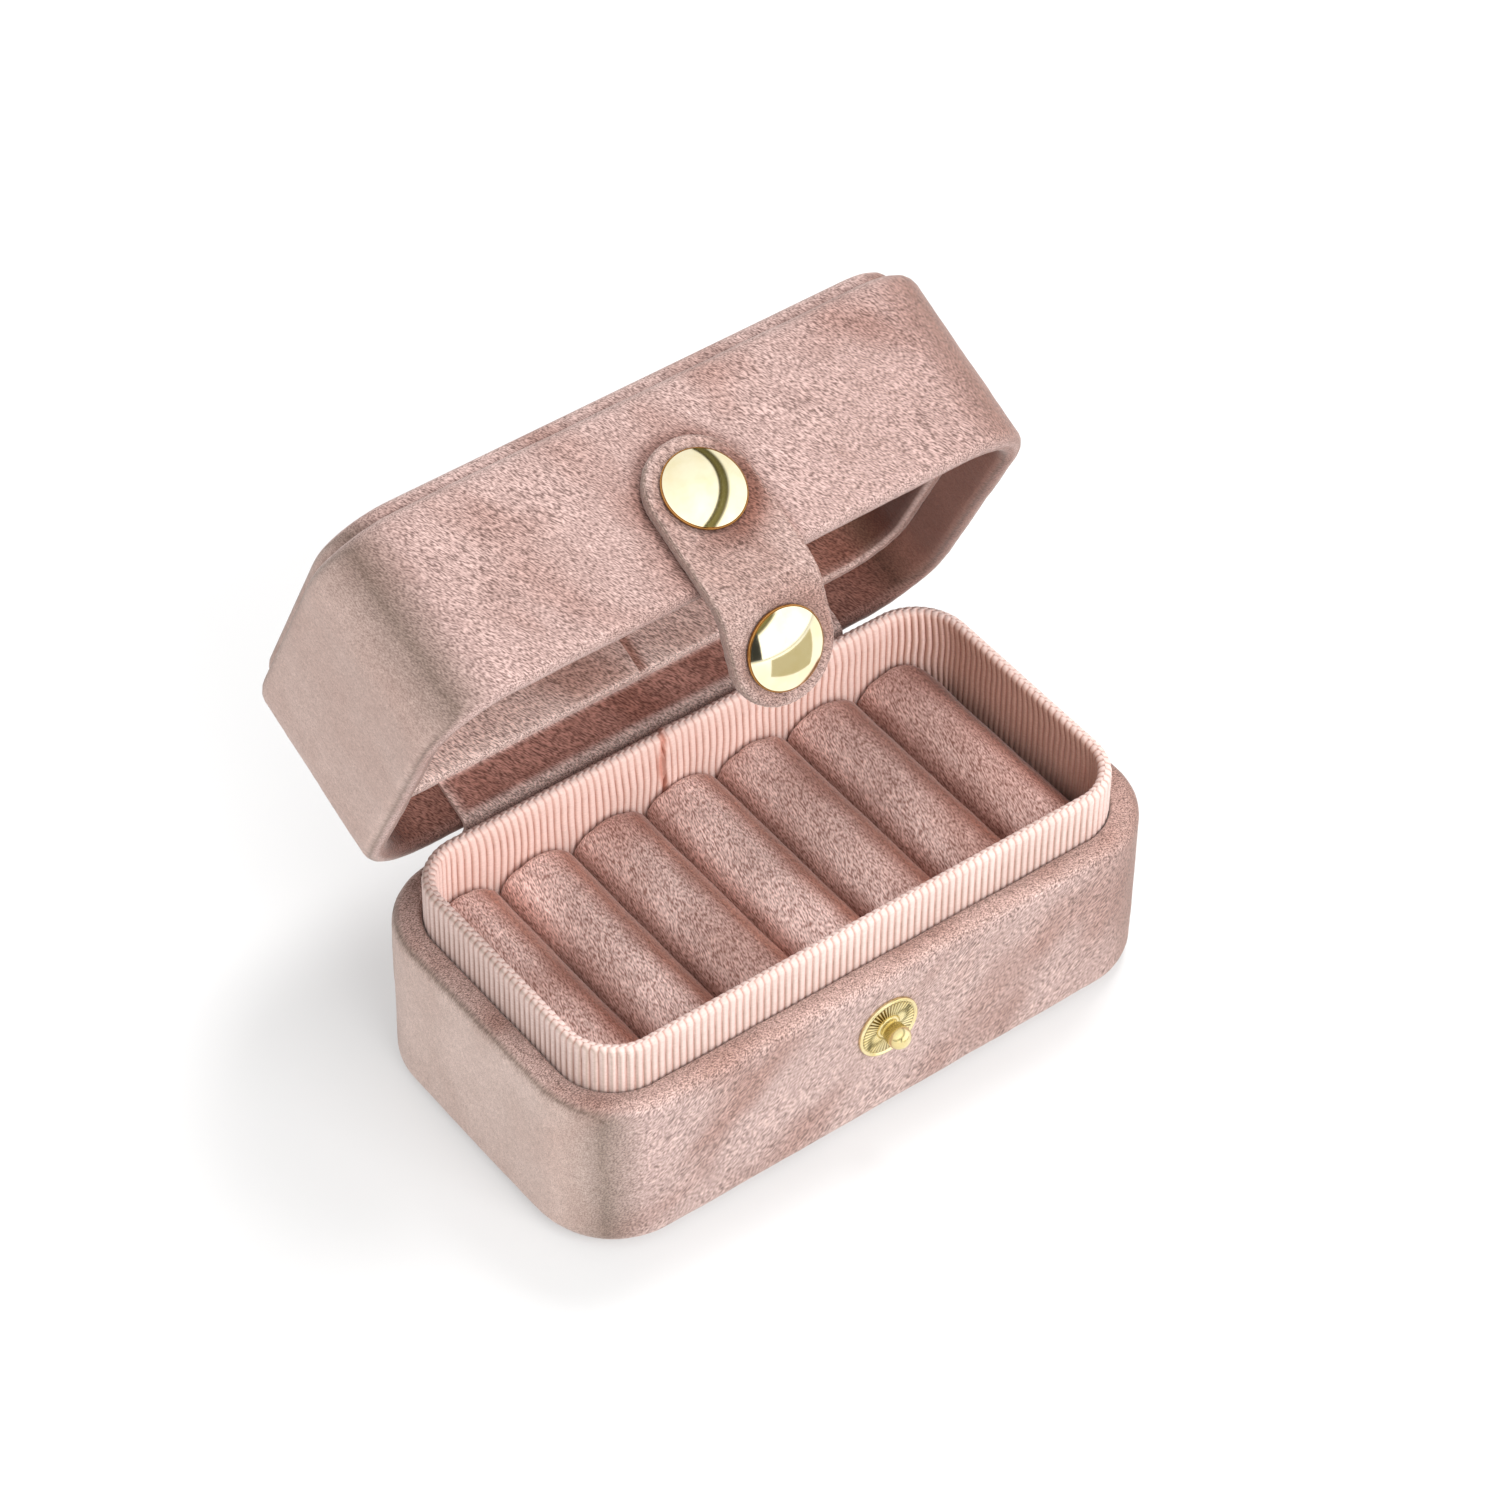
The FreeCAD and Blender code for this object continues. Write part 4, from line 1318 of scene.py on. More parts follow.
@dataclass
class RingRolls(SubAssembly):
    """The padded rolls that hold the rings, on their foam bed."""

    count: int = 7
    low: float = 12.0
    crown: float = 4.9
    end_round: float = 0.8
    well: float = 6.6
    arch_faces: int = 22
    length_faces: int = 52
    right_end: float = 40.0
    right_darkening: float = 0.5
    held_below: float = 1.5
    stuffing: Stuffing = Stuffing(weave=0.7, give=0.5)

    def build(self) -> None:
        """Models and dresses the rolls and the bed."""
        bed = self.bed()
        self.dress(bed, FOAM, Slot.FOAM, ["foam_bed"], Body.BASE)
        for number in range(1, self.count + 1):
            roll = self.roll(number)
            nodes = [f"ring_roll_cover_{number}", f"ring_roll_core_{number}"]
            self.dress(roll, ROLL_VELVET, Slot.VELVET, nodes, Body.BASE)

    def bed(self) -> bpy.types.Object:
        """Makes the foam slab.

        Returns:
            The slab.
        """
        low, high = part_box("foam_bed")
        inset = PLAN.length / 2 - in_mm(high.x)
        piece = slab("foam_bed_pad", PLAN, inset, in_mm(low.z), in_mm(high.z), 0, 0.8)
        shade_smooth(piece)
        return piece

    def roll(self, number: int) -> bpy.types.Object:
        """Makes one roll: an arch that is stuffed until it swells.

        Args:
            number: which roll, from the left.

        Returns:
            The roll.
        """
        low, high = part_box(f"ring_roll_cover_{number}")
        half, middle = (high.x - low.x) / 2, (low.x + high.x) / 2
        spring = high.z - mm(self.crown)
        angles = (math.pi * share / self.arch_faces for share in range(self.arch_faces + 1))
        arch = [
            Vector((middle - half * math.cos(a), low.y, spring + mm(self.crown) * math.sin(a)))
            for a in angles
        ]
        feet = [Vector((middle + half * side, low.y, mm(self.low))) for side in (-1, 1)]
        piece = draw_line(f"ring_roll_{number}", [feet[0], *arch, feet[1]], closed=True)
        with Edit(piece) as edit:
            edit.fill()
            edit.extrude(Vector((0, high.y - low.y, 0)))
            edit.face_outwards()
            edit.pick(Element.EDGE, lambda edge: abs(edge.verts[0].co.y - edge.verts[1].co.y) > mm(1))
            bpy.ops.mesh.subdivide(number_cuts=self.length_faces - 1)
        self.soften_ends(piece, low, high)
        self.trim_to_collar(piece)
        self.stuffing.swell(piece, lambda point: point.z < spring - mm(self.held_below))
        ruffle(piece, height=0.12, size=6.0)
        # Painted shade: the rolls made darker and redder towards the right.
        mark_shade_and_wear(piece, lambda point: darker_right(point.x, self.right_end, self.right_darkening, curve=2))
        shade_smooth(piece, angle=80)
        return piece

    def soften_ends(self, piece: bpy.types.Object, low: Vector, high: Vector) -> None:
        """Rounds the roll down at its two ends.

        Args:
            piece: the roll.
            low: the lowest corner of its box.
            high: the highest corner of its box.
        """
        for vert in piece.data.vertices:
            end = min(vert.co.y - low.y, high.y - vert.co.y)
            share = max(0.0, 1 - end / mm(self.end_round))
            drop = 1 - math.sqrt(max(0.0, 1 - share**2))
            up = max(0.0, vert.co.z - mm(self.low)) / (high.z - mm(self.low))
            vert.co.z -= drop * mm(self.end_round) * up

    def trim_to_collar(self, piece: bpy.types.Object) -> None:
        """Draws the ends of the outer rolls in to the collar's round corners."""
        for vert in piece.data.vertices:
            x, y = in_mm(vert.co.x), in_mm(vert.co.y)
            centre = Vector((math.copysign(PLAN.run / 2, x), math.copysign(PLAN.side / 2, y)))
            out = Vector((x, y)) - centre
            reach = PLAN.corner - self.well
            if abs(x) > PLAN.run / 2 and abs(y) > PLAN.side / 2 and out.length > reach:
                fitted = centre + out.normalized() * reach
                vert.co.x, vert.co.y = mm(fitted.x), mm(fitted.y)


@dataclass
class LidShell(SubAssembly):
    """The covered lid with its padded top, lining band and ceiling."""

    rim: float = 28.9
    top: float = 57.6
    clear: float = 0.05
    cloth: float = 0.8
    lining: float = 3.6
    rim_round: float = 1.5
    top_round: float = 2.2
    fold: float = 8.0
    turn_in: float = 8.4
    panel_inset: float = 2.7
    panel_thick: float = 2.3
    panel_round: float = 1.6
    band_low: float = 35.4
    band_high: float = 54.8
    band_inner: float = 5.6
    band_round: float = 0.8
    pad_inset: float = 5.7
    pad_low: float = 52.6
    pad_round: float = 1.4
    join: float = 1.0
    lap_step: float = 0.15
    lap_run: float = 16.0
    lap_lift: float = 1.1
    lap_drop: float = 0.15
    lap_shade: float = 0.9
    band_shade_above: float = 0.25
    inner_shade: float = 0.95
    right_darkening: float = 0.4
    strap_shadow_and_press: float = 0.6
    strap_middle: float = -0.8
    strap_half: float = 8.25
    strap_top: float = 12.35
    strap_shade: float = 1.1
    fold_clear: float = 4.0
    wall_depth: float = 1.0
    ceiling_round: float = 0.5
    shell_round: float = 0.3
    shell_top_round: float = 1.2
    band_back_round: float = 0.3
    lap_inside: float = 0.5
    lap_curve: float = 1.5
    lap_fade: float = 6.0
    lap_shadow: float = 1.4
    hem_pale: float = 1.2
    hem_fade: float = 2.5
    band_right: float = 6.0
    band_right_fade: float = 24.0

    def build(self) -> None:
        """Models and dresses the lid."""
        self.dress(self.shell(), MOULDING, Slot.FRAME, ["lid_frame"], Body.LID)
        self.dress(self.wrap(), LID_VELVET, Slot.VELVET, ["lid_velvet_wrap"], Body.LID)
        panel, pad = self.panel(), self.pad()
        self.dress(panel, LID_VELVET, Slot.VELVET, ["lid_top_panel"], Body.LID)
        self.dress(self.band(), BAND_VELVET, Slot.VELVET, ["lid_liner_band"], Body.LID)
        self.dress(pad, LINING_VELVET, Slot.VELVET, ["lid_ceiling_pad"], Body.LID)

    def wrap(self) -> bpy.types.Object:
        """Sweeps the cloth round the lid.

        Returns:
            The wrap, a closed skin.
        """
        hem = self.rim + self.turn_in
        outer = rounded(
            (
                (self.lining, hem, 0),
                (self.lining, self.rim, self.rim_round),
                (0, self.rim, self.rim_round),
                (0, self.top, self.top_round),
                (self.fold, self.top, 0),
            ),
            step=0.9,
        )
        inner = [
            (self.fold, self.top - self.cloth),
            (self.cloth, self.top - self.cloth),
            (self.cloth, self.rim + self.cloth),
            (self.lining - self.cloth, self.rim + self.cloth),
            (self.lining - self.cloth, hem),
        ]
        piece = PLAN.sweep("lid_wrap", outer + inner, PLAN.faces(step=0.8))
        finish_wrap(piece, self.shade_and_wear)
        swing_open(piece)
        shade_smooth(piece)
        return piece

    def shade_and_wear(self, point: Vector) -> float:
        """Says where the lid's cloth is made darker: painted shade inside the rim, a darkening towards the
        right end, and a painted shadow with pressed pile along the strap.

        Args:
            point: a point of the closed lid, in millimetres.

        Returns:
            The darkening, from 0 to 1.
        """
        if PLAN.inset(point.x, point.y) > self.lining / 2 and point.z < self.top - self.fold_clear:
            return self.inner_shade
        wear = darker_right(point.x, PLAN.length / 2, self.right_darkening, curve=3)
        if point.y < -PLAN.depth / 2 + self.wall_depth:
            up = max(0.0, point.z - self.rim - self.strap_top)
            off = math.hypot(point.x - self.strap_middle, up) - self.strap_half
            wear = max(wear, self.strap_shadow_and_press * math.exp(-((off / self.strap_shade) ** 2)))
        return wear

    def shell(self) -> bpy.types.Object:
        """Makes the moulded shell between the wrap and the lining.

        Returns:
            The shell.
        """
        skin = self.cloth + self.clear
        inner, low, high = self.lining - skin, self.rim + skin, self.top - skin
        ceiling = self.band_high + self.clear
        edge = rounded(
            (
                (PLAN.corner, ceiling, 0),
                (inner, ceiling, self.ceiling_round),
                (inner, low, self.shell_round),
                (skin, low, self.shell_round),
                (skin, high, self.shell_top_round),
                (PLAN.corner, high, 0),
            ),
            step=2.0,
        )
        face = 2.5
        piece = PLAN.sweep("lid_shell", edge, PLAN.faces(face), closed=False)
        fill_flat(piece, face, (ceiling, high))
        swing_open(piece)
        shade_smooth(piece)
        return piece

    def panel(self) -> bpy.types.Object:
        """Makes the padded board on the lid.

        Returns:
            The panel.
        """
        high = self.top + self.panel_thick
        piece = slab("top_panel", PLAN, self.panel_inset, self.top, high, 0, self.panel_round)
        swing_open(piece)
        shade_smooth(piece)
        return piece

    def band(self) -> bpy.types.Object:
        """Sweeps the lining band inside the walls.

        Returns:
            The band.
        """
        profile = rounded(
            (
                (self.lining, self.band_high, 0),
                (self.lining, self.band_low, self.band_back_round),
                (self.band_inner, self.band_low, self.band_round),
                (self.band_inner, self.band_high, 0),
            ),
            step=1.0,
        )
        piece = PLAN.sweep("liner_band", profile, PLAN.faces(step=1.2))
        mark_edge_highlight(piece)
        self.lap(piece)
        mark_shade_and_wear(piece, self.band_shade)
        ruffle(piece, height=0.08, size=1.6)
        swing_open(piece)
        shade_smooth(piece)
        return piece

    def lap(self, piece: bpy.types.Object) -> None:
        """Lays the left end of the band over the right one, in the middle of the back."""
        with Edit(piece) as edit:
            for place in (self.join, self.join + self.lap_step):
                edit.pick(Element.VERT, lambda vert: vert.co.y > mm(PLAN.side / 2))
                bpy.ops.mesh.bisect(plane_co=(mm(place), 0, 0), plane_no=(1, 0, 0))
        inside = mm(PLAN.depth / 2 - self.lining - self.lap_inside)
        for vert in piece.data.vertices:
            behind = (self.join - in_mm(vert.co.x)) / self.lap_run
            if -0.001 <= behind <= 1 and mm(PLAN.side / 2) < vert.co.y < inside:
                rise = (1 - behind) ** self.lap_curve
                vert.co.y -= mm(self.lap_lift * rise)
                low = max(0.0, 1 - (in_mm(vert.co.z) - self.band_low) / self.lap_fade)
                vert.co.z -= mm(self.lap_drop * rise * low)

    def band_shade(self, point: Vector) -> float:
        """Says where the band is painted darker: a painted shadow beside its lap, and painted shade higher up
        inside the lid and towards the right.

        Args:
            point: a point of the band, in millimetres.

        Returns:
            The painted shade, from 0 to 1.
        """
        if self.join < point.x < self.join + self.lap_shadow:
            return self.lap_shade
        above = max(0.0, min(1.0, (point.z - self.band_low - self.hem_pale) / self.hem_fade))
        beside = min(1.0, (point.x - self.band_right) / self.band_right_fade)
        return max(self.band_shade_above * above, self.inner_shade * beside)

    def pad(self) -> bpy.types.Object:
        """Makes the padded panel inside the lid's top.

        Returns:
            The pad.
        """
        piece = slab("ceiling_pad", PLAN, self.pad_inset, self.pad_low, self.band_high, self.pad_round, 0)
        swing_open(piece)
        shade_smooth(piece)
        return piece


@dataclass
class HingeStrip(SubAssembly):
    """The velvet strip in the angle between the two rims, shaped for the open lid."""

    thick: float = 0.7
    ledge: float = 27.85
    start: float = 23.5
    wall: float = -3.95
    ridge: float = -0.2
    ridge_out: float = 0.25
    ridge_round: float = 1.6
    reach: float = 7.2
    fold_back: float = 0.25
    fold_round: float = 0.5
    half_width: float = 32.5
    width_cuts: int = 64
    lid_round: float = 2.0
    bend_low: float = 28.0
    bend_high: float = 29.6

    def build(self) -> None:
        """Models and dresses the strip."""
        piece, length = self.strip()
        start, end = ((0, HINGE.y, mm(level)) for level in (self.bend_low, self.bend_high))
        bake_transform(piece)
        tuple(start)
        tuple(end)
        self.dress(piece, HINGE_VELVET, Slot.VELVET, ["hinge_strip"], None)

    def strip(self) -> tuple[bpy.types.Object, float]:
        """Draws the strip's section and extrudes it along the hinge.

        Returns:
            The strip and the length of its section, in millimetres.
        """
        fold = in_mm(HINGE.y) - self.fold_back
        ridge = on_open_lid(self.wall - self.ridge_out, self.ridge)
        above = on_open_lid(self.wall, self.reach / 2)
        end = on_open_lid(self.wall, self.reach)
        path = ((self.start, self.ledge, 0), (fold, self.ledge, self.fold_round))
        path += ((*ridge, self.ridge_round), (*above, self.lid_round), (*end, 0))
        line = rounded(path, step=0.4)
        length = sum(math.dist(a, b) for a, b in zip(line, line[1:]))
        sides = [self.beside(line, self.thick / 2), self.beside(line, -self.thick / 2)[::-1]]
        points = [Vector((mm(-self.half_width), mm(y), mm(z))) for side in sides for y, z in side]
        piece = draw_line("hinge_fold", points, closed=True)
        with Edit(piece) as edit:
            edit.fill()
            edit.extrude(Vector((mm(2 * self.half_width), 0, 0)))
            edit.pick(Element.EDGE, lambda edge: edge.calc_length() > mm(self.half_width))
            bpy.ops.mesh.subdivide(number_cuts=self.width_cuts)
            edit.face_outwards()
        mark_edge_highlight(piece, soft=0.1, sharp=0.45)
        ruffle(piece, height=0.1, size=2.5)
        shade_smooth(piece)
        return piece, length

    def beside(self, line: Sequence[Point], out: float) -> list[Point]:
        """Gives a line that runs beside another.

        Args:
            line: the points to follow.
            out: how far to the left of them.

        Returns:
            The moved points.
        """
        moved = []
        for index, point in enumerate(line):
            before, after = line[max(0, index - 1)], line[min(len(line) - 1, index + 1)]
            run = Vector(after) - Vector(before)
            moved.append(tuple(Vector(point) + run.orthogonal().normalized() * out))
        return moved


@dataclass
class Strap(SubAssembly):
    """The strap that closes the box: flat on the lid, bent below the rim."""

    middle: float = -0.8
    width: float = 16.5
    thick: float = 1.8
    edge_round: float = 0.7
    rivet_height: float = 12.35
    fold_height: float = -1.2
    link: float = 2.3
    reach: float = 8.2
    droop: float = 44.0
    bend: float = 6.0
    cap: float = 6.0
    sink: float = 0.22
    swell: float = 0.18
    rivet_hole: float = 1.6
    snap_hole: float = 2.7
    bend_half: float = 1.0
    row: float = 0.8
    column: float = 0.9
    crescent_gap: float = 0.8
    crescent_fade: float = 3.0
    crescent_side: float = 42.0
    crescent_spread: float = 0.45
    sink_past: float = 1.0
    sink_fade: float = 1.2
    swell_past: float = 1.3
    top_above: float = 0.3

    @property
    def pivot(self) -> float:
        """The length of strap above the lower bend."""
        return self.width / 2 + self.rivet_height - self.fold_height + self.link

    @property
    def length(self) -> float:
        """The whole length of the strap."""
        return self.pivot + self.reach + self.width / 2

    def build(self) -> None:
        """Models the strap, cuts it in its bending stretch and dresses both parts."""
        cut = self.pivot - self.link / 2
        upper, lower = self.blank("strap_upper"), self.blank("strap_lower")
        self.cut(upper, cut, keep_upper=True)
        self.cut(lower, cut, keep_upper=False)
        self.bore(upper, self.width / 2, self.rivet_hole)
        self.bore(lower, self.pivot + self.reach, self.snap_hole)
        for piece in (upper, lower):
            apply_modifier(piece, "SUBSURF", subdivision_type="SIMPLE", levels=2, render_levels=2)
            mark_edge_highlight(piece)
            mark_shade_and_wear(piece, self.shade_and_wear)
            self.pad(piece)
            self.lay(piece)
            ruffle(piece, height=0.05, size=1.5)
            ruffle(piece, height=0.12, size=0.3)
            shade_smooth(piece)
        fold, snap = self.pivot - self.link, self.pivot
        for piece, bend, bodies, nodes in (
            (upper, fold, (Body.LID, Body.STRAP_BEND), ["strap_anchor"]),
            (lower, snap, (Body.STRAP_BEND, Body.STRAP_END), ["strap_link", "strap_tongue"]),
        ):
            ends = (self.point(bend + side, 0) for side in (-self.bend_half, self.bend_half))
            start, end = (Vector((0, mm(y), mm(z))) for y, z in ends)
            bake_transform(piece)
            self.dress(piece, STRAP_VELVET, Slot.VELVET, nodes, None)

    def blank(self, name: str) -> bpy.types.Object:
        """Makes the flat strap, round at both ends, with a fine grid of faces.

        Args:
            name: the new object's name.

        Returns:
            The strap, lying flat with its top end at Y 0.
        """
        deselect_all()
        half = self.width / 2
        bpy.ops.mesh.primitive_cylinder_add(
            vertices=96, radius=mm(half), depth=mm(self.thick), location=(mm(self.middle), mm(-half), 0)
        )
        piece = bpy.context.object
        piece.name = piece.data.name = name
        bpy.ops.object.transform_apply(location=True)
        with Edit(piece) as edit:
            edit.pick(Element.VERT, lambda vert: vert.co.y < mm(-half) - mm(0.01))
            bpy.ops.transform.translate(value=(0, mm(self.width - self.length), 0))
            edit.pick(Element.FACE, lambda face: abs(face.normal.z) > 0.9)
            bpy.ops.mesh.region_to_loop()
            bpy.ops.mesh.bevel(offset=mm(self.edge_round), segments=4, affect="EDGES")
            rows, columns = round(self.length / self.row), round(self.width / self.column)
            for number in range(1, rows):
                edit.pick_all()
                place = (0, mm(-self.length * number / rows), 0)
                bpy.ops.mesh.bisect(plane_co=place, plane_no=(0, 1, 0))
            for number in range(1, columns):
                edit.pick_all()
                place = (mm(self.middle - half + self.width * number / columns), 0, 0)
                bpy.ops.mesh.bisect(plane_co=place, plane_no=(1, 0, 0))
        return piece

    def cut(self, piece: bpy.types.Object, along: float, keep_upper: bool) -> None:
        """Cuts the flat strap across and keeps one part.

        Args:
            piece: the flat strap.
            along: where it is cut, from its top end, in millimetres.
            keep_upper: whether the top part is kept.
        """
        with Edit(piece) as edit:
            edit.pick_all()
            bpy.ops.mesh.bisect(
                plane_co=(0, mm(-along), 0),
                plane_no=(0, 1, 0),
                use_fill=True,
                clear_inner=keep_upper,
                clear_outer=not keep_upper,
            )
            edit.face_outwards()

    def bore(self, piece: bpy.types.Object, along: float, radius: float) -> None:
        """Cuts the round hole that the rivet's post or the snap's tube passes through.

        Args:
            piece: a part of the flat strap.
            along: the hole's place from the strap's top end, in millimetres.
            radius: the hole's radius.
        """
        deselect_all()
        bpy.ops.mesh.primitive_cylinder_add(
            vertices=32,
            radius=mm(radius),
            depth=mm(3 * self.thick),
            location=(mm(self.middle), mm(-along), 0),
        )
        drill = bpy.context.object
        apply_modifier(piece, "BOOLEAN", operation="DIFFERENCE", object=drill)
        bpy.data.objects.remove(drill)

    def shade_and_wear(self, point: Vector) -> float:
        """Says where the strap is made darker, right of the rivet and below it: a painted shadow of the
        rivet, with pressed pile.

        Args:
            point: a point of the flat strap, in millimetres.

        Returns:
            The darkening, from 0 to 1.
        """
        x, y = point.x - self.middle, point.y + self.width / 2
        far = max(0.0, math.hypot(x, y) - self.cap - self.crescent_gap) / self.crescent_fade
        side = max(0.0, math.cos(math.atan2(y, x) + math.radians(self.crescent_side)))
        return side**self.crescent_spread * math.exp(-(far**2))

    def pad(self, piece: bpy.types.Object) -> None:
        """Sinks the cloth under both caps and swells it between them."""
        caps = [-self.width / 2, -(self.pivot + self.reach)]
        for vert in piece.data.vertices:
            x, y = in_mm(vert.co.x) - self.middle, in_mm(vert.co.y)
            near = min(math.hypot(x, y - cap) for cap in caps)
            hollow = self.sink * max(0.0, min(1.0, (self.cap + self.sink_past - near) / self.sink_fade))
            ridge = self.swell * math.exp(-((near - self.cap - self.swell_past) ** 2))
            if vert.co.z > mm(self.top_above):
                vert.co.z += mm(ridge - hollow)

    def lay(self, piece: bpy.types.Object) -> None:
        """Lays the flat strap on the lid and bends it over the rim."""
        for vert in piece.data.vertices:
            y, z = self.point(-in_mm(vert.co.y), in_mm(vert.co.z))
            vert.co.y, vert.co.z = mm(y), mm(z)

    def point(self, along: float, out: float) -> Point:
        """Gives the place of a point of the strap.

        Args:
            along: down the strap from its top end, in millimetres.
            out: out from the middle of its thickness.

        Returns:
            Its Y and Z, in millimetres.
        """
        turn = math.radians(self.droop)
        trim = self.bend * math.tan(turn / 2)
        over = along - self.pivot
        bent = turn * max(0.0, min(1.0, (over + trim) / (2 * trim)))
        lean = math.radians(90 - OPEN_ANGLE) + bent
        face = -PLAN.depth - self.thick / 2
        height = self.rivet_height + self.width / 2
        if over <= -trim:
            return on_open_lid(face - out, height - along)
        y, z = on_open_lid(face, height - self.pivot + trim)
        first = math.radians(90 - OPEN_ANGLE)
        y += self.bend * (math.sin(first) - math.sin(lean))
        z += self.bend * (math.cos(lean) - math.cos(first))
        rest = max(0.0, over - trim)
        y -= rest * math.cos(lean) + out * math.sin(lean)
        z -= rest * math.sin(lean) - out * math.cos(lean)
        return y, z


@dataclass
class Fasteners(SubAssembly):
    """The rivet, the snap's cap and the ball stud, turned from brass."""

    middle: float = -0.8
    cap_radius: float = 6.0
    cap_height: float = 1.9
    cap_rim: float = 0.5
    bead: float = 0.25
    lip: float = 0.24
    groove: float = 0.22
    post: float = 1.5
    post_length: float = 5.3
    tube: float = 2.6
    bore: float = 2.2
    tube_length: float = 3.0
    tube_roof: float = 1.3
    flange: float = 4.95
    flange_thick: float = 0.6
    flange_rim: float = 0.35
    dish: float = 0.35
    neck: float = 1.4
    head: float = 1.75
    stud_reach: float = 4.3
    stud_back: float = 4.3
    stud_height: float = 18.1
    ribs: int = 44
    rib_height: float = 0.25
    rib_from: float = 0.5
    rib_clear: float = 0.1
    dome_steps: int = 24
    cap_faces: int = 128
    groove_width: float = 0.1
    groove_round: float = 0.02
    groove_foot: float = 0.03
    lip_rise: float = 0.06
    lip_round: float = 0.12
    waist_in: float = 0.1
    waist_up: float = 1.1
    waist_round: float = 0.5
    neck_up: float = 0.5
    neck_round: float = 0.3
    root_round: float = 0.2
    dish_round: float = 0.15
    rim_round: float = 0.28
    foot_round: float = 0.1

    def build(self) -> None:
        """Models and dresses the metal pieces."""
        strap = Strap()
        self.keep(BRASS, "snap_stud_back", "rivet_back", "snap_socket")
        post = [(self.post, 0), (self.post, -self.post_length), (0, -self.post_length)]
        rivet = self.cap("rivet_dome", post)
        self.seat(rivet, on_open_lid(-PLAN.depth - strap.thick, strap.rivet_height), 90 - OPEN_ANGLE)
        self.dress(rivet, GILT, Slot.GILT, ["rivet_cap"], Body.LID)
        inside = [(self.tube, 0), (self.tube, -self.tube_length), (self.bore, -self.tube_length)]
        inside += [(self.bore, self.tube_roof), (0, self.tube_roof)]
        snap = self.cap("snap_dome", inside)
        place = strap.point(strap.pivot + strap.reach, strap.thick / 2)
        self.seat(snap, place, 90 - OPEN_ANGLE + strap.droop)
        self.dress(snap, GILT, Slot.GILT, ["snap_cap"], Body.STRAP_END)
        stud = self.stud()
        self.seat(stud, (-PLAN.depth / 2, self.stud_height), 90)
        self.dress(stud, BRASS, Slot.BRASS, ["snap_stud"], Body.BASE)

    def cap(self, name: str, inside: Sequence[Point]) -> bpy.types.Object:
        """Turns a domed cap with a rolled edge.

        Args:
            name: the new object's name.
            inside: radius and height of its underside's corners, from the edge to the axis.

        Returns:
            The cap, on the Z axis.
        """
        rise = self.cap_height - self.cap_rim
        sphere = (self.cap_radius**2 + rise**2) / (2 * rise)
        widest = math.asin((self.cap_radius - self.lip) / sphere)
        turns = [widest * k / self.dome_steps for k in range(self.dome_steps + 1)]
        dome = [(sphere * math.sin(a), self.cap_height - sphere * (1 - math.cos(a))) for a in turns]
        start, level = dome[-1]
        edge = rounded(
            (
                (start, level, 0),
                (start + self.groove_width / 2, level - self.groove, self.groove_round),
                (start + self.groove_width, self.cap_rim + self.lip_rise, self.groove_foot),
                (self.cap_radius, self.cap_rim + self.lip_rise, self.lip_round),
                (self.cap_radius, 0, self.bead),
                (self.post, 0, 0),
            ),
            step=0.3,
        )[1:-1]
        piece = spin_profile(name, dome + edge + list(inside), self.cap_faces)
        # Marks the rolled rim past the groove for a coppery painted reflection.
        rim_reflection = point_values(piece, "groove")
        for vert in piece.data.vertices:
            radius = in_mm(math.hypot(vert.co.x, vert.co.y))
            rim_reflection[vert.index].value = float(radius > start + self.groove_round)
        shade_smooth(piece, angle=40)
        return piece

    def stud(self) -> bpy.types.Object:
        """Turns the ball stud and raises the fine ribs of its dished flange.

        Returns:
            The stud, on the Z axis.
        """
        floor = self.flange_thick - self.dish
        centre = self.stud_reach - self.head
        turns = [math.pi * k / self.dome_steps for k in range(self.dome_steps // 2)]
        tip = [(self.head * math.sin(a), centre + self.head * math.cos(a)) for a in turns]
        inner = self.flange - self.flange_rim
        plate = rounded(
            (
                (self.head, centre, 0),
                (self.head - self.waist_in, floor + self.waist_up, self.waist_round),
                (self.neck, floor + self.neck_up, self.neck_round),
                (self.neck, floor, self.root_round),
                (inner - self.dish, floor, self.dish_round),
                (inner, self.flange_thick, self.dish_round),
                (self.flange, self.flange_thick, self.rim_round),
                (self.flange, 0, self.foot_round),
                (self.neck, 0, 0),
            ),
            step=0.18,
        )
        back = [(self.neck, -self.stud_back), (0, -self.stud_back)]
        piece = spin_profile("ball_stud", tip + plate + back, 4 * self.ribs)
        # Marks the grooves between the ribs for painted shade.
        groove_shade = point_values(piece, "groove")
        for vert in piece.data.vertices:
            radius, up = in_mm(math.hypot(vert.co.x, vert.co.y)), in_mm(vert.co.z)
            ribbed = self.neck + self.rib_from < radius < inner - self.rib_clear
            if ribbed and 0 < up < floor + self.rib_clear:
                wave = 0.5 + 0.5 * math.cos(self.ribs * math.atan2(vert.co.y, vert.co.x))
                vert.co.z += mm(self.rib_height * wave)
                groove_shade[vert.index].value = 1 - wave
        shade_smooth(piece, angle=60)
        return piece

    def seat(self, piece: bpy.types.Object, place: Point, lean: float) -> None:
        """Stands a turned piece on its seat.

        Args:
            piece: the piece, on the Z axis.
            place: Y and Z of its seat, in millimetres.
            lean: how far its axis leans to the front, in degrees.
        """
        with Edit(piece) as edit:
            edit.pick_all()
            bpy.ops.transform.rotate(value=math.radians(-lean), orient_axis="X", center_override=(0, 0, 0))
            bpy.ops.transform.translate(value=(mm(self.middle), mm(place[0]), mm(place[1])))


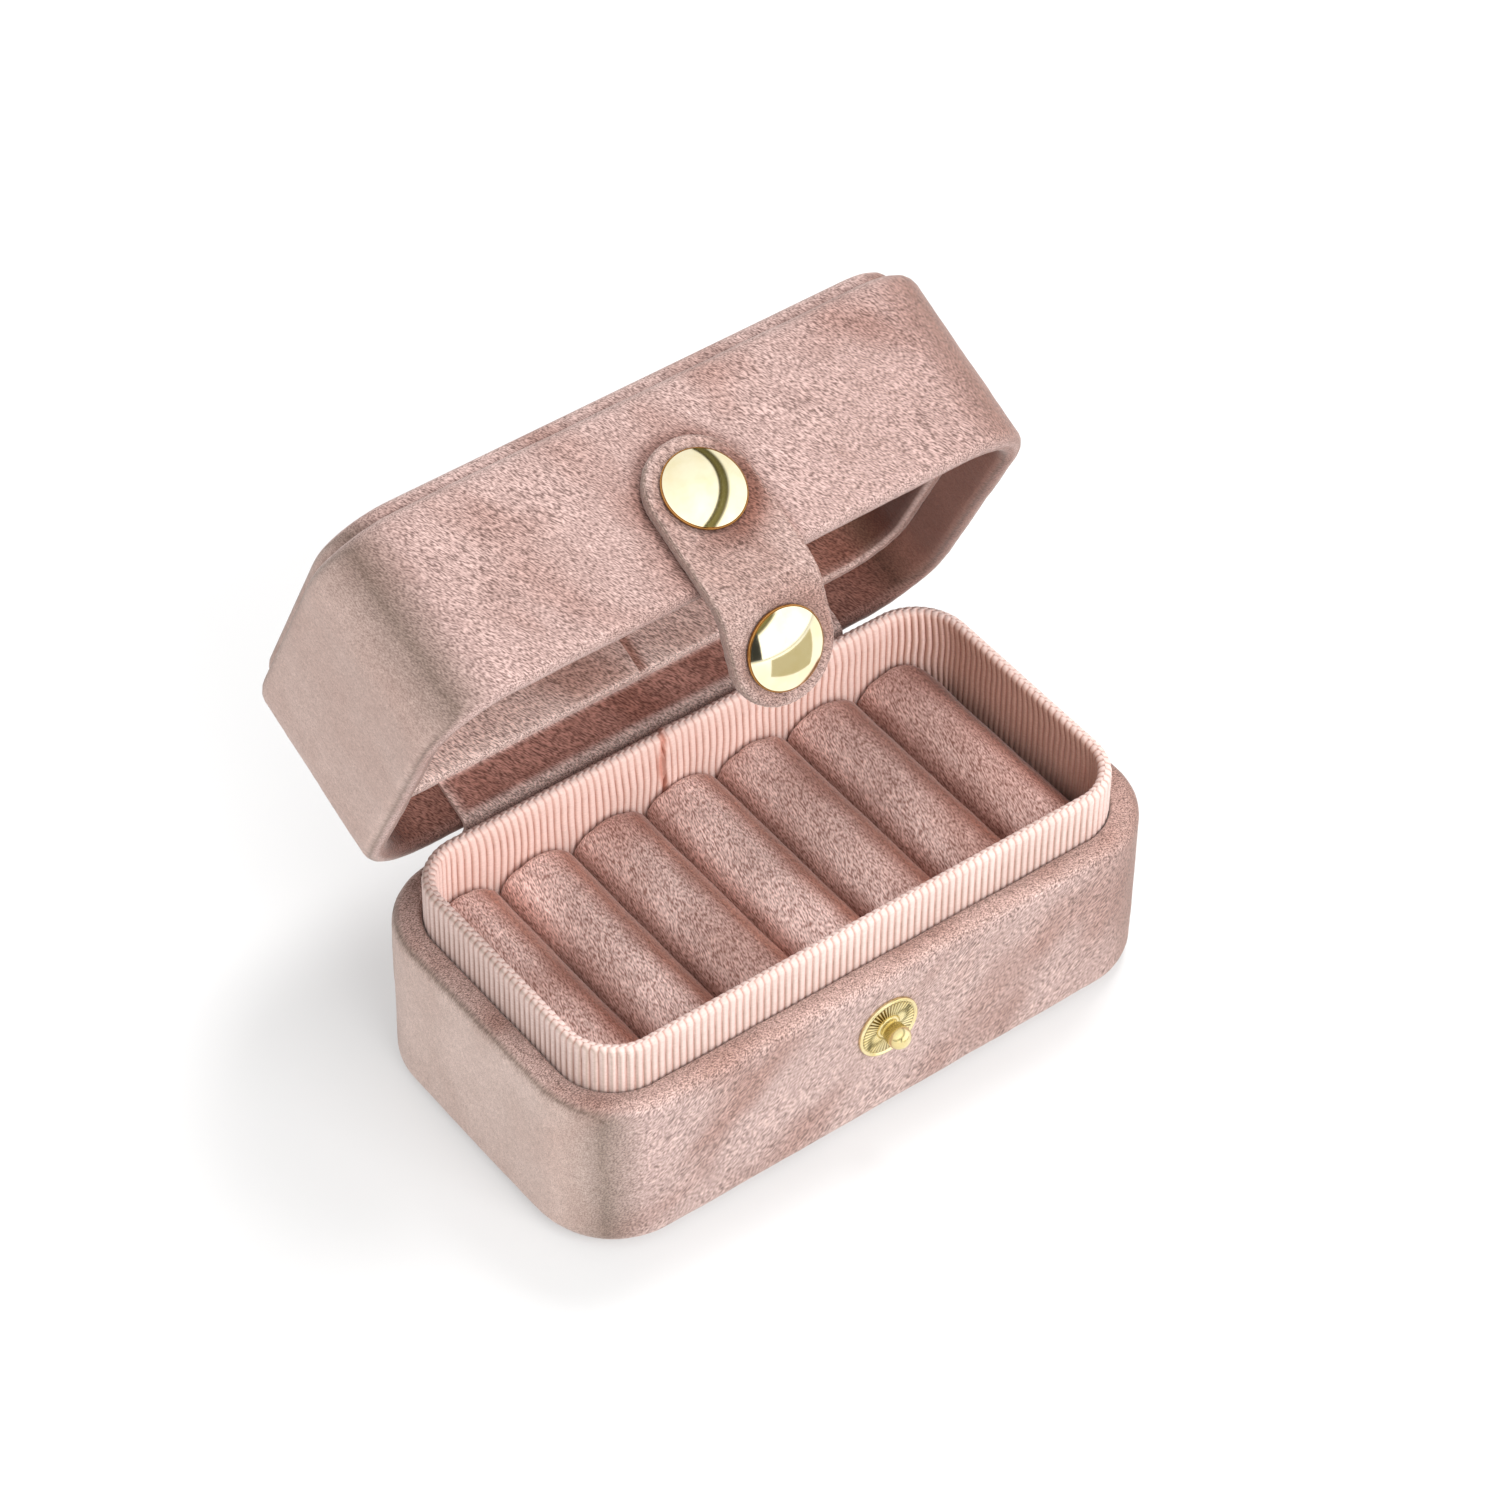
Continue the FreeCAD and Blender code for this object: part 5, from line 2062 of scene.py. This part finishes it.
@dataclass
class Studio:
    """The pale floor, the lamps and the camera."""

    azimuth: float = -37.805
    elevation: float = 45.273
    roll: float = 1.027
    distance: float = 742.759
    focal_px: float = 5286.211
    shift_right: float = -2.349
    shift_up: float = 33.882
    frame_px: float = 1500.0
    sensor: float = 36.0
    lamp_axis: tuple[float, float, float] = (-0.36, 0.22, 0.9)
    levels: tuple[tuple[float, Colour], ...] = (
        (0.22, (1.15, 1.15, 1.15)),
        (0.27, (0.1, 0.09, 0.04)),
        (0.35, (0.2, 0.18, 0.08)),
        (0.42, (0.05, 0.04, 0.015)),
        (0.44, (1.15, 1.15, 1.15)),
    )
    gap_top: float = 0.6
    dim: float = 0.72
    gap_turn: float = -14.0
    gap_width: float = 14.0
    card_corners: tuple[Point, ...] = ((0, -150), (78, -64), (655, -459), (28, -800))
    walls: tuple[Point, ...] = ((0.1, 1.5), (0.5, 1.0), (0.9, 0.8))
    gap_light: Colour = (0.04, 0.04, 0.04)
    aim_height: float = 40.0

    def build(self) -> None:
        """Sets the stage."""
        self.floor()
        self.lamps()
        self.camera()

    def floor(self) -> None:
        """Lays a wide pale floor."""
        deselect_all()
        bpy.ops.mesh.primitive_plane_add(size=6)
        floor = bpy.context.object
        floor.name = "floor"
        nodes = Nodes(bpy.data.materials.new("floor"))
        nodes.shade(Base_Color=(0.5, 0.5, 0.5, 1), Roughness=0.9, Specular_IOR_Level=0.1)
        nodes.shade(Emission_Color=(1, 1, 1, 1), Emission_Strength=0.37)
        floor.data.materials.append(nodes.owner)
        self.card()

    def card(self) -> None:
        """Lays a dull card on the floor in front, which only shows in the gilt caps."""
        card = draw_line("card", [Vector((mm(x), mm(y), mm(1))) for x, y in self.card_corners], closed=True)
        with Edit(card) as edit:
            edit.fill()
        nodes = Nodes(bpy.data.materials.new("card"))
        nodes.shade(Base_Color=(0, 0, 0, 1), Roughness=1.0, Specular_IOR_Level=0.0)
        nodes.shade(Emission_Color=(0.62, 0.56, 0.4, 1), Emission_Strength=1.0)
        card.data.materials.append(nodes.owner)
        card.visible_camera = card.visible_diffuse = card.visible_shadow = False

    def lamps(self) -> None:
        """Hangs the soft boxes and sets the even light of the room."""
        bpy.context.scene.view_settings.view_transform = "Standard"
        self.room()
        self.lamp("key", place=Vector((0.4, 0.25, 1.0)), size=0.35, watts=7.0)
        self.lamp("fill", place=Vector((0.0, -1.0, 0.6)), size=0.9, watts=11.0)

    def room(self) -> None:
        """Makes the light of a white tent, with a framed ceiling lamp and a gap in the front wall."""
        world = bpy.data.worlds.new("room")
        bpy.context.scene.world = world
        nodes = Nodes(world)
        way = nodes.add("TexCoord").outputs["Generated"]
        axes = nodes.add("SeparateXYZ", Vector=way).outputs
        lamp = self.along(nodes, way, Vector(self.lamp_axis).normalized())
        ceiling = nodes.ramp(lamp, self.levels)
        walls = nodes.ramp(nodes.half(axes["Y"]), [(place, (light,) * 3) for place, light in self.walls])
        light = nodes.tint(ceiling, walls)
        flat = nodes.add("VectorMath", operation="MULTIPLY")
        nodes.feed(flat, 0, way)
        nodes.feed(flat, 1, (1, 1, 0))
        level = nodes.add("VectorMath", operation="NORMALIZE")
        nodes.feed(level, 0, flat.outputs[0])
        turn = math.radians(self.gap_turn)
        near = self.along(nodes, level.outputs[0], Vector((math.sin(turn), -math.cos(turn), 0)))
        gap = nodes.reckon("GREATER_THAN", near, math.cos(math.radians(self.gap_width / 2)))
        gap = nodes.reckon("MULTIPLY", gap, nodes.reckon("LESS_THAN", axes["Z"], self.gap_top))
        path = nodes.add("LightPath").outputs
        nodes.shade(Color=nodes.mix(gap, light, self.gap_light))
        nodes.shade(Strength=nodes.blend(path["Is Glossy Ray"], 1 - self.dim, self.dim))
        plain = nodes.add("Background", Color=(1, 1, 1, 1)).outputs[0]
        either = nodes.add("MixShader")
        nodes.feed(either, 0, path["Is Camera Ray"])
        nodes.feed(either, 1, nodes.shader.outputs[0])
        nodes.feed(either, 2, plain)
        output = next(node for node in nodes.tree.nodes if node.type == "OUTPUT_WORLD")
        nodes.feed(output, "Surface", either.outputs[0])

    def along(self, nodes: Nodes, way: bpy.types.NodeSocket, axis: Vector) -> bpy.types.NodeSocket:
        """Gives how far a direction points along an axis, from -1 to 1."""
        node = nodes.add("VectorMath", operation="DOT_PRODUCT")
        nodes.feed(node, 0, way)
        nodes.feed(node, 1, axis)
        return node.outputs["Value"]

    def lamp(self, name: str, place: Vector, size: float, watts: float) -> None:
        """Hangs one soft box that looks at the box.

        Args:
            name: the lamp's name.
            place: where it hangs, in metres.
            size: its side, in metres.
            watts: its power.
        """
        data = bpy.data.lights.new(name, "AREA")
        data.size, data.energy = size, watts
        lamp = bpy.data.objects.new(name, data)
        bpy.context.collection.objects.link(lamp)
        lamp.visible_glossy = False
        aim = (Vector((0, 0, mm(self.aim_height))) - place).to_track_quat("-Z", "Y")
        lamp.matrix_world = Matrix.Translation(place) @ aim.to_matrix().to_4x4()

    def camera(self) -> None:
        """Stands the camera where the photograph was taken from."""
        turn, tilt = math.radians(self.azimuth), math.radians(self.elevation)
        roll = math.radians(self.roll)
        back = Vector((math.sin(turn) * math.cos(tilt), -math.cos(turn) * math.cos(tilt), math.sin(tilt)))
        level = Vector((math.cos(turn), math.sin(turn), 0))
        upright = back.cross(level)
        right = level * math.cos(roll) + upright * math.sin(roll)
        up = upright * math.cos(roll) - level * math.sin(roll)
        target = right * self.shift_right + up * self.shift_up
        place = mm(target + back * self.distance)
        data = bpy.data.cameras.new("camera")
        data.sensor_width = self.sensor
        data.lens = self.sensor * self.focal_px / self.frame_px
        data.clip_start = 0.01
        camera = bpy.data.objects.new("camera", data)
        bpy.context.collection.objects.link(camera)
        turned = Matrix((right, up, back)).transposed().to_4x4()
        camera.matrix_world = Matrix.Translation(place) @ turned
        bpy.context.scene.camera = camera


def main() -> None:
    """Builds the sub-assemblies in order and sets the stage."""
    logging.basicConfig(level=logging.INFO, format="%(name)s: %(message)s")
    for part in (BaseShell(), Collar(), RingRolls(), LidShell(), HingeStrip(), Strap(), Fasteners()):
        part.build()
    Studio().build()


if __name__ == "__main__":
    main()
